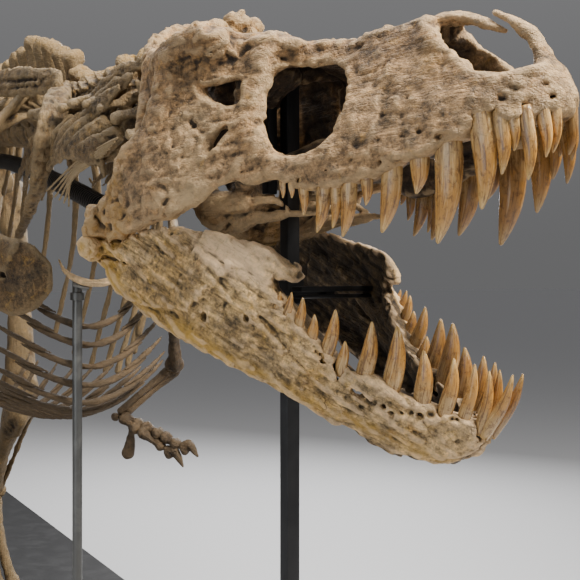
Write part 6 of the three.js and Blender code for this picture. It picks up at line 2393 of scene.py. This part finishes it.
    def make_foot(self, workshop: Workshop, ankle: Array, knuckle: Array) -> None:
        """Makes the three long bones of the foot and the small rear toe.

        Args:
            workshop: dresses the piece.
            ankle: middle of the ankle joint.
            knuckle: middle of the joint that carries the toes.
        """
        side = self.side
        drop = (knuckle - ankle) / np.linalg.norm(knuckle - ankle)
        foot = []
        for k in (-1, 0, 1):
            y = 0.072 * k
            ends = [ankle + drop * 0.035 + LEFTWARD * y * 0.66,
                mixed(ankle, knuckle, 0.5) + LEFTWARD * y * 0.72,
                knuckle - drop * 0.045 + (self.lead(k), y * 1.35, 0)]
            mid = (0.034, 0.02) if k == 0 else (0.042, 0.031)
            pair = [(0.05, 0.03 if k == 0 else 0.04), mid, mid, (0.048, 0.036)]
            parts = [Bar(ends, pair, LEFTWARD, 0.02, 16)]
            parts += [Ball(knuckle - drop * 0.046 + (self.lead(k), y * 1.35 + j * 0.019, 0),
                (0.05, 0.022, 0.046), 0.012) for j in (-1, 1)]
            foot.append(sculpt(parts, 0.008, self.seed + 5 + k, self.ROUGH, drop))
        dew = [mixed(ankle, knuckle, 0.72) + (-0.03, -side * 0.075, 0),
            mixed(ankle, knuckle, 0.9) + (-0.095, -side * 0.095, 0),
            knuckle + (-0.06, -side * 0.118, -0.02)]
        foot += digit(dew, (0.0, 0.55, 1.0), (0.02, 0.018, 0.006), self.seed + 8, 0.0055, 0.01)
        workshop.dress(f"foot_{self.name}", merged(foot), Slot.BODY, [f"metatarsus_{self.name}"])

    def make_toes(self, workshop: Workshop, knuckle: Array) -> None:
        """Makes the three toes that stand on the slab.

        Args:
            workshop: dresses the pieces.
            knuckle: middle of the joint that carries them.
        """
        side = self.side
        for number, long, joints, ends in self.TOES:
            order = (number - 3) * side
            start = knuckle + (self.lead(order), order * 0.097, -0.006)
            turn = math.radians(order * 17)
            line = [start]
            for share, z in self.ARCH:
                line.append((start[0] + math.cos(turn) * long * share,
                    start[1] + math.sin(turn) * long * share, self.ground + z))
            bones = digit(line, joints, ends, self.seed + 12 + number, 0.0075, 0.03)
            for skin in bones:
                skin.points[:, 2] = np.maximum(skin.points[:, 2], self.ground)
            workshop.dress(f"toe_bones_{number}_{self.name}", merged(bones), Slot.DARK,
                [f"toe_{number}_{self.name}"])

    def lead(self, order: int) -> float:
        """How far the joint of a toe lies ahead: the middle one, 0, leads the ones beside it."""
        return 0.018 if order == 0 else -0.012

    def knee(self, hip: Array, ankle: Array) -> Array:
        """Knee in front of the line from the hip to the ankle.

        Args:
            hip: top of the thigh bone.
            ankle: middle of the ankle joint.

        Returns:
            Its place.
        """
        line = ankle - hip
        span = float(np.linalg.norm(line))
        bend = math.acos((self.femur**2 + span**2 - self.tibia**2) / (2 * self.femur * span))
        c, s = math.cos(-bend), math.sin(-bend)
        line = line / span
        turned = np.array([line[0] * c + line[2] * s, line[1], line[2] * c - line[0] * s])
        return hip + turned * self.femur


class Pelvis:
    """Hip bones: a plate on each side of the backbone, and the pairs of bones that meet below."""

    PLATE = mm((560, 2800), (590, 3010), (500, 3155), (260, 3230), (-60, 3236), (-380, 3190), (-640, 3080),
        (-760, 2930), (-740, 2850), (-480, 2830), (-250, 2790), (-225, 2650), (-115, 2650), (-100, 2745),
        (0, 2815), (100, 2745), (120, 2650), (270, 2640), (290, 2750), (440, 2830))

    def plate(self, side: int, seed: int) -> Skin:
        """Upper hip bone of one side.

        Args:
            side: 1 on the left, -1 on the right.
            seed: which unevenness.

        Returns:
            Its mesh.
        """
        clay = Clay((-0.79, 0.05, 2.61), (0.62, 0.31, 3.27), 0.0115)
        where, (x, y, z) = clay.window(clay.low, clay.low + clay.step * clay.count)
        edge = outline_field(x, z, smooth_line(self.PLATE, 180, closed=True))
        inner = 0.156 - 0.06 * clamp((z - 3.06) / 0.17)
        low = clamp((2.9 - z) / 0.2)
        thick = 0.026 + 0.072 * low + 0.02 * ramp(-edge, 0.06, 0.0) + 0.014 * bump(x, 0.02, 0.06)
        ridges = 0.006 * np.cos(x * 60.0 + z * 8.0) * ramp(z, 2.9, 3.1)
        wall = soft_max(y - inner - thick - ridges, inner - y, 0.02)
        clay.field[where] = soft_max(wall, edge, 0.03).astype(np.float32)
        clay.bar(mm((-130, 225, 2760), (0, 235, 2850), (130, 225, 2760)), mm((30, 22)) * 3, UP, 0.02)
        clay.roughen(Noise(seed), Grain(0.0045, 0.002, 0.0014, 0.0026, 1.2), None, grain_axes(UP))
        skin = clay.skin()
        skin.rest = skin.points @ grain_axes(UP).T + seed
        return skin if side > 0 else mirrored(skin)

    def build(self, workshop: Workshop) -> None:
        """Makes the pelvis.

        Args:
            workshop: dresses the pieces.
        """
        rough = Grain(0.004, 0.002, 0.0014, 0.0026, 1.2)
        for side, name in ((1, "left"), (-1, "right")):
            workshop.dress(f"hip_plate_{name}", self.plate(side, 700 + side), Slot.BODY, [f"ilium_{name}"])
        front, rear = [], []
        for side in (1, -1):
            front.append(Bar([(0.195, side * 0.188, 2.625), (0.26, side * 0.15, 2.42),
                (0.4, side * 0.066, 2.0), (0.48, side * 0.022, 1.64)],
                mm((38, 78), (36, 50), (30, 40), (30, 42), (34, 60)), AHEAD, 0.03, 20))
            rear.append(Bar([(-0.165, side * 0.192, 2.635), (-0.27, side * 0.15, 2.45),
                (-0.52, side * 0.06, 2.12), (-0.75, side * 0.014, 1.84)],
                mm((46, 58), (30, 46), (22, 30), (22, 26), (26, 30)), AHEAD, 0.03, 18))
        front.append(Bar(mm((140, 0, 1535), (420, 0, 1568), (640, 0, 1560), (840, 0, 1598)),
            mm((36, 22), (56, 58), (58, 70), (30, 26)), UP, 0.04, 16))
        front.append(Bar(mm((360, 0, 2100), (460, 0, 1700)), mm((70, 12), (30, 12)), AHEAD, 0.03))
        front.append(Ball((0.23, 0.0, 1.57), (0.06, 0.012, 0.03), 0.02, cut=True))
        workshop.dress("front_hip_bones", sculpt(front, 0.0105, 710, rough, -UP), Slot.BODY, ["pubes"])
        workshop.dress("rear_hip_bones", sculpt(rear, 0.01, 720, rough, -UP), Slot.BODY, ["ischia"])


# ---- Stand


def turned(profile: Points, x: float, y: float, around: int = 56) -> Skin:
    """Closed round piece from a profile of (radius, height) rows, from its bottom to its top.

    Args:
        profile: its rows.
        x: place ahead.
        y: place to the left.
        around: corners of its ring.

    Returns:
        The mesh.
    """
    p = np.asarray(profile, dtype=float)
    angle = np.linspace(0, 2 * math.pi, around, endpoint=False)
    ring = np.stack([np.cos(angle), np.sin(angle)], axis=1)
    points = np.concatenate([p[:, None, :1] * ring[None],
        np.broadcast_to(p[:, None, 1:], (len(p), around, 1))], axis=2)
    points = np.vstack([points.reshape(-1, 3), [(0, 0, p[0, 1])], [(0, 0, p[-1, 1])]])
    return Skin(points + (x, y, 0), tube_faces(len(p), around), points.copy())


def slab(size: Row, centre: Row, corner: float, bevel: float, turn: float = 0.0) -> Skin:
    """Closed block with round upright corners and bevelled edges.

    Args:
        size: full length, width and height.
        centre: its middle.
        corner: radius of the upright corners.
        bevel: width of the bevel.
        turn: degrees that it turns about the upright axis.

    Returns:
        The mesh.
    """
    angle = np.linspace(0, math.pi / 2, 7)
    around = []
    for quarter, (sx, sy) in enumerate(((1, 1), (-1, 1), (-1, -1), (1, -1))):
        a = angle + quarter * math.pi / 2
        around.append(np.stack([sx * (size[0] / 2 - corner) + corner * np.cos(a),
            sy * (size[1] / 2 - corner) + corner * np.sin(a)], axis=1))
    ring = np.vstack(around)
    middle = np.sign(ring) * (np.array(size[:2]) / 2 - corner)
    inward = (ring - middle) / max(corner, 1e-6) * bevel
    half = size[2] / 2
    rings = [(ring - inward, -half), (ring, -half + bevel), (ring, half - bevel), (ring - inward, half)]
    points = np.vstack([np.column_stack([r, np.full(len(r), z)]) for r, z in rings])
    points = np.vstack([points, [(0, 0, -half)], [(0, 0, half)]])
    rest = points.copy()
    c, s = math.cos(math.radians(turn)), math.sin(math.radians(turn))
    points = points @ np.array([[c, s, 0], [-s, c, 0], [0, 0, 1.0]]) + centre
    return Skin(points, tube_faces(4, len(ring)), rest)


def pipe(points: Points, radius: float, around: int = 20, count: int = 40) -> Skin:
    """Closed round tube along a smooth line.

    Args:
        points: places on the line.
        radius: of the tube.
        around: corners of its ring.
        count: how many rings.

    Returns:
        The mesh.
    """
    line = smooth_line(points, count)
    _, side, rise = frames_along(line, LEFTWARD if abs(line[-1][1] - line[0][1]) < 0.2 else UP)
    angle = np.linspace(0, 2 * math.pi, around, endpoint=False)
    rings = line[:, None] + radius * (np.cos(angle)[None, :, None] * side[:, None]
        + np.sin(angle)[None, :, None] * rise[:, None])
    made = np.vstack([rings.reshape(-1, 3), [line[0]], [line[-1]]])
    return Skin(made, tube_faces(count, around), made.copy())


def bolt(x: float, y: float, z: float, wide: float = 0.02) -> Skin:
    """Hexagonal bolt head on a washer, facing up.

    Args:
        x: place ahead.
        y: place to the left.
        z: height of what it holds down.
        wide: radius of the head.

    Returns:
        The mesh.
    """
    return merged([
        turned([(wide * 1.1, z), (wide * 1.1, z + 0.003)], x, y, 28),
        turned([(wide * 0.72, z + 0.003), (wide * 0.72, z + 0.013), (wide * 0.6, z + 0.016)], x, y, 6),
    ])


@dataclass
class Stand:
    """Base slab, posts and their fittings."""

    floor: float = SLAB_TOP
    turn: float = 18.0

    def post(self, x: float, y: float, radius: float, top: float, foot: float = 0.11) -> list[Skin]:
        """Round post with a foot plate, a weld and four bolts.

        Args:
            x: place ahead.
            y: place to the left.
            radius: of the post.
            top: its height above the floor.
            foot: radius of the foot plate.

        Returns:
            Their meshes.
        """
        z = self.floor
        ring = turned([(foot - 0.003, z), (foot, z + 0.002), (foot, z + 0.01), (foot - 0.002, z + 0.012)],
            x, y)
        shaft = turned([(radius, z), (radius, top - 0.003), (radius - 0.003, top)], x, y)
        weld = turned([(radius + 0.009, z + 0.012), (radius + 0.006, z + 0.018),
            (radius + 0.0005, z + 0.023)], x, y)
        bolts = [bolt(x + 0.72 * foot * math.cos(a), y + 0.72 * foot * math.sin(a), z + 0.012, 0.011)
                 for a in np.arange(4) * math.pi / 2 + 0.6]
        return [ring, shaft, weld, *bolts]

    def build(self, workshop: Workshop) -> None:
        """Makes the stand.

        Args:
            workshop: dresses the pieces.
        """
        base = [
            slab((8.6, 2.4, 0.094), (0, 0, 0.073), 0.06, 0.006),
            slab((8.54, 2.34, 0.026), (0, 0, 0.013), 0.04, 0.002),
        ]
        workshop.dress("base_slab", merged(base), Slot.BASE, ["stand_base"])
        x, y = 2.742, -0.055
        sleeve = turned([(0.0185, 1.0205), (0.029, 1.02), (0.032, 1.017), (0.032, self.floor)][::-1], x, y)
        knob = pipe([(x, y - 0.03, 0.985), (x, y - 0.062, 0.985)], 0.009, 16, 2)
        collar = turned(mm((18.5, 2060), (26, 2062), (26, 2088), (18.5, 2090)), x, y)
        fork = [
            pipe([(x, y, 2.1), (2.765, y + 0.002, 2.112), (2.788, y, 2.113)], 0.0085, 16, 12),
            pipe([(2.788, y - 0.03, 2.118), (2.789, y, 2.109), (2.788, y + 0.03, 2.106)], 0.006, 12, 12),
        ]
        chest = [*self.post(x, y, 0.018, 2.135), sleeve, knob, collar, *fork]
        workshop.dress("chest_post", merged(chest), Slot.GREY, ["stand_chest_post"])
        self.skull_post(workshop)
        hip = [*self.post(0, 0, 0.032, 2.86), slab((0.5, 0.09, 0.012), (0, 0, 2.842), 0.02, 0.002)]
        workshop.dress("hip_post", merged(hip), Slot.BLACK, ["stand_hip_post"])
        tail = [*self.post(-3.0, 0.11, 0.025, 2.585),
            turned(mm((26, 2550), (45, 2565), (45, 2580), (30, 2583)), -3.0, 0.11)]
        workshop.dress("tail_post", merged(tail), Slot.BLACK, ["stand_tail_post"])

    def skull_post(self, workshop: Workshop) -> None:
        """Makes the flat black post through the head, its cross bar and its clamps.

        Args:
            workshop: dresses the piece.
        """
        axes = turned_axes(self.turn, 0.0)
        foot = JAW_JOINT + np.array([0.4, 0.06, 0.0]) @ turned_axes(HEAD_YAW, 5.0)
        x, y = foot[0], foot[1]

        def at(ahead: float, left: float, z: float) -> Array:
            """Place beside the post, turned with it."""
            return np.array([x, y, 0]) + ahead * axes[0] + left * axes[1] + UP * z

        def plate(size: Row, centre: Row, corner: float = 0.003) -> Skin:
            """Steel plate or block, turned with the post."""
            return slab(size, centre, corner, 0.002, self.turn)

        z = self.floor
        pieces = [plate((0.36, 0.36, 0.012), (x, y, z + 0.006), 0.02),
            plate((0.032, 0.048, 2.68), (x, y, z + 1.34)),
            plate((0.04, 0.36, 0.014), at(0.15, 0.06, 2.115)),
            plate((0.04, 0.36, 0.01), at(0.15, 0.06, 2.095)),
            plate((0.17, 0.036, 0.028), at(0.075, 0, 2.105)),
            plate((0.05, 0.066, 0.07), at(0.0, 0, 2.105), 0.004),
            plate((0.05, 0.066, 0.05), at(0.0, 0, 0.9), 0.004),
            plate((0.05, 0.03, 0.05), at(0.15, 0.21, 2.105)),
            plate((0.026, 0.036, 0.34), at(-0.03, -0.05, 2.55))]
        pieces += [bolt(*at(a, b, z + 0.012), 0.015) for a in (-0.13, 0.13) for b in (-0.13, 0.13)]
        workshop.dress("skull_post", merged(pieces), Slot.BLACK, ["stand_skull_post"])
        rods = [pipe([at(0.17, 0.23, 2.105), at(0.19, 0.245, 2.06), at(0.2, 0.25, 2.02)], 0.008, 14, 14)]
        rods.append(pipe([at(0.0, 0.0, 2.74), at(0.03, 0.03, 2.79)], 0.02, 14, 6))
        hose = [(0.75, 0, 2.74), (1.3, -0.01, 2.70), (1.9, -0.02, 2.61), (2.33, -0.03, 2.53),
            (2.82, -0.03, 2.43), (3.1, -0.02, 2.35), (3.22, 0.0, 2.25), (3.5, 0.03, 2.16),
            at(-0.02, 0.0, 2.105)]
        rods.append(pipe(hose, 0.03, 20, 160))
        line = smooth_line(hose, 150)
        ahead, _, _ = frames_along(line, UP)
        rods += [pipe([line[i] - ahead[i] * 0.006, line[i] + ahead[i] * 0.006], 0.037, 20, 2)
            for i in range(4, 130)]
        workshop.dress("armature", merged(rods), Slot.BLACK)


ARMS = (
    Arm("left", 1, (2.634, 0.358, 2.085), (2.292, 0.494, 1.76), (2.215, 0.275, 1.562), (2.285, 0.31, 1.535),
        mm((2547, 499, 1420), (2501, 455, 1373)), (2.252, 0.3, 1.408)),
    Arm("right", -1, (2.634, -0.358, 2.085), (2.39, -0.52, 1.77), (2.5, -0.52, 1.62), (2.61, -0.52, 1.56),
        mm((2877, -560, 1442), (2837, -470, 1412)), (2.59, -0.52, 1.43)),
)
LEGS = (Leg("left", 1, -0.3, 30.0), Leg("right", -1, 0.65, 15.0))


# ---- Scene


@dataclass(frozen=True)
class Lamp:
    """A square soft light that faces a target."""

    name: str
    place: Place
    target: Place
    size: float
    power: float
    colour: Rgb = (1.0, 1.0, 1.0)

    def hang(self) -> None:
        """Adds it to the scene."""
        data = bpy.data.lights.new(self.name, "AREA")
        data.size, data.energy, data.color = self.size, self.power, self.colour
        lamp = bpy.data.objects.new(self.name, data)
        lamp.location = self.place
        way = np.subtract(self.target, self.place)
        x, y, z = way / np.linalg.norm(way)
        lamp.rotation_euler = (math.acos(-z), 0.0, math.atan2(-x, y))
        bpy.context.scene.collection.objects.link(lamp)


@dataclass
class Studio:
    """Pale floor, soft lights and the camera."""

    eye: Place = (6.959, -1.240, 2.150)
    azimuth: float = 64.0
    lens: float = 72.62
    shift: float = -14 / 580
    reach: float = 150.0
    ground: Rgb = (0.62, 0.62, 0.63)
    haze: Rgb = (0.372, 0.372, 0.378)
    air: Rgb = (0.56, 0.56, 0.57)
    glow: float = 0.37
    lamps: tuple[Lamp, ...] = (
        Lamp("key", (6.6, 1.6, 5.6), (3.9, 0.2, 2.3), 1.4, 700.0, (1.0, 0.95, 0.87)),
        Lamp("fill", (5.2, -4.6, 3.0), (3.9, 0.0, 2.2), 3.0, 90.0, (0.9, 0.95, 1.0)),
        Lamp("top", (1.0, 0.0, 7.5), (1.0, 0.0, 2.0), 6.0, 520.0),
        Lamp("rear", (-4.0, 5.0, 5.0), (-1.0, 0.0, 2.2), 4.0, 500.0),
    )

    def build(self) -> None:
        """Makes the floor, the air, the lights and the camera."""
        self.lay_floor()
        self.fill_air()
        for lamp in self.lamps:
            lamp.hang()
        self.aim_camera()

    def lay_floor(self) -> None:
        """Makes the wide plain floor."""
        plane = bpy.data.meshes.new("studio_floor")
        r = self.reach
        plane.from_pydata([(-r, -r, 0), (r, -r, 0), (r, r, 0), (-r, r, 0)], [], [(0, 1, 2, 3)])
        floor = bpy.data.objects.new("studio_floor", plane)
        bpy.context.scene.collection.objects.link(floor)
        look, w, shader = new_material("floor", self.ground)
        w.fill(shader, {"Base Color": rgba(self.ground), "Roughness": 0.7})
        plane.materials.append(look)

    def fill_air(self) -> None:
        """Lights the scene from a haze that turns paler upward."""
        world = bpy.data.worlds.new("studio")
        world.use_nodes = True
        w = Wiring(world.node_tree)
        around = w.node("ShaderNodeTexCoord").outputs["Generated"]
        toward = w.node("ShaderNodeSeparateXYZ", {0: around}).outputs["Z"]
        air = w.mix(w.step(toward, 0.0, 0.35), rgba(self.haze), rgba(self.air))
        w.fill(world.node_tree.nodes["Background"], {"Color": air, "Strength": self.glow})
        bpy.context.scene.world = world

    def aim_camera(self) -> None:
        """Makes the camera."""
        data = bpy.data.cameras.new("camera")
        data.sensor_width = 36.0
        data.lens = self.lens
        data.shift_y = self.shift
        data.clip_end = 200.0
        camera = bpy.data.objects.new("camera", data)
        camera.location = self.eye
        camera.rotation_euler = (math.pi / 2, 0.0, math.radians(self.azimuth))
        bpy.context.scene.collection.objects.link(camera)
        bpy.context.scene.camera = camera


def main() -> None:
    """Builds the mount piece by piece, then the studio."""
    logging.basicConfig(level=logging.INFO, format="%(message)s", force=True)
    workshop = Workshop()
    Cranium().build(workshop)
    Jaw(-1, "mandible_right", 12).build(workshop)
    Jaw(1, "mandible_left", 17).build(workshop)
    for stretch in STRETCHES:
        stretch.build(workshop)
    RibCage().build(workshop)
    for arm in ARMS:
        arm.build(workshop)
    Pelvis().build(workshop)
    for leg in LEGS:
        leg.build(workshop)
    Stand().build(workshop)
    Studio().build()


if __name__ == "__main__":
    main()
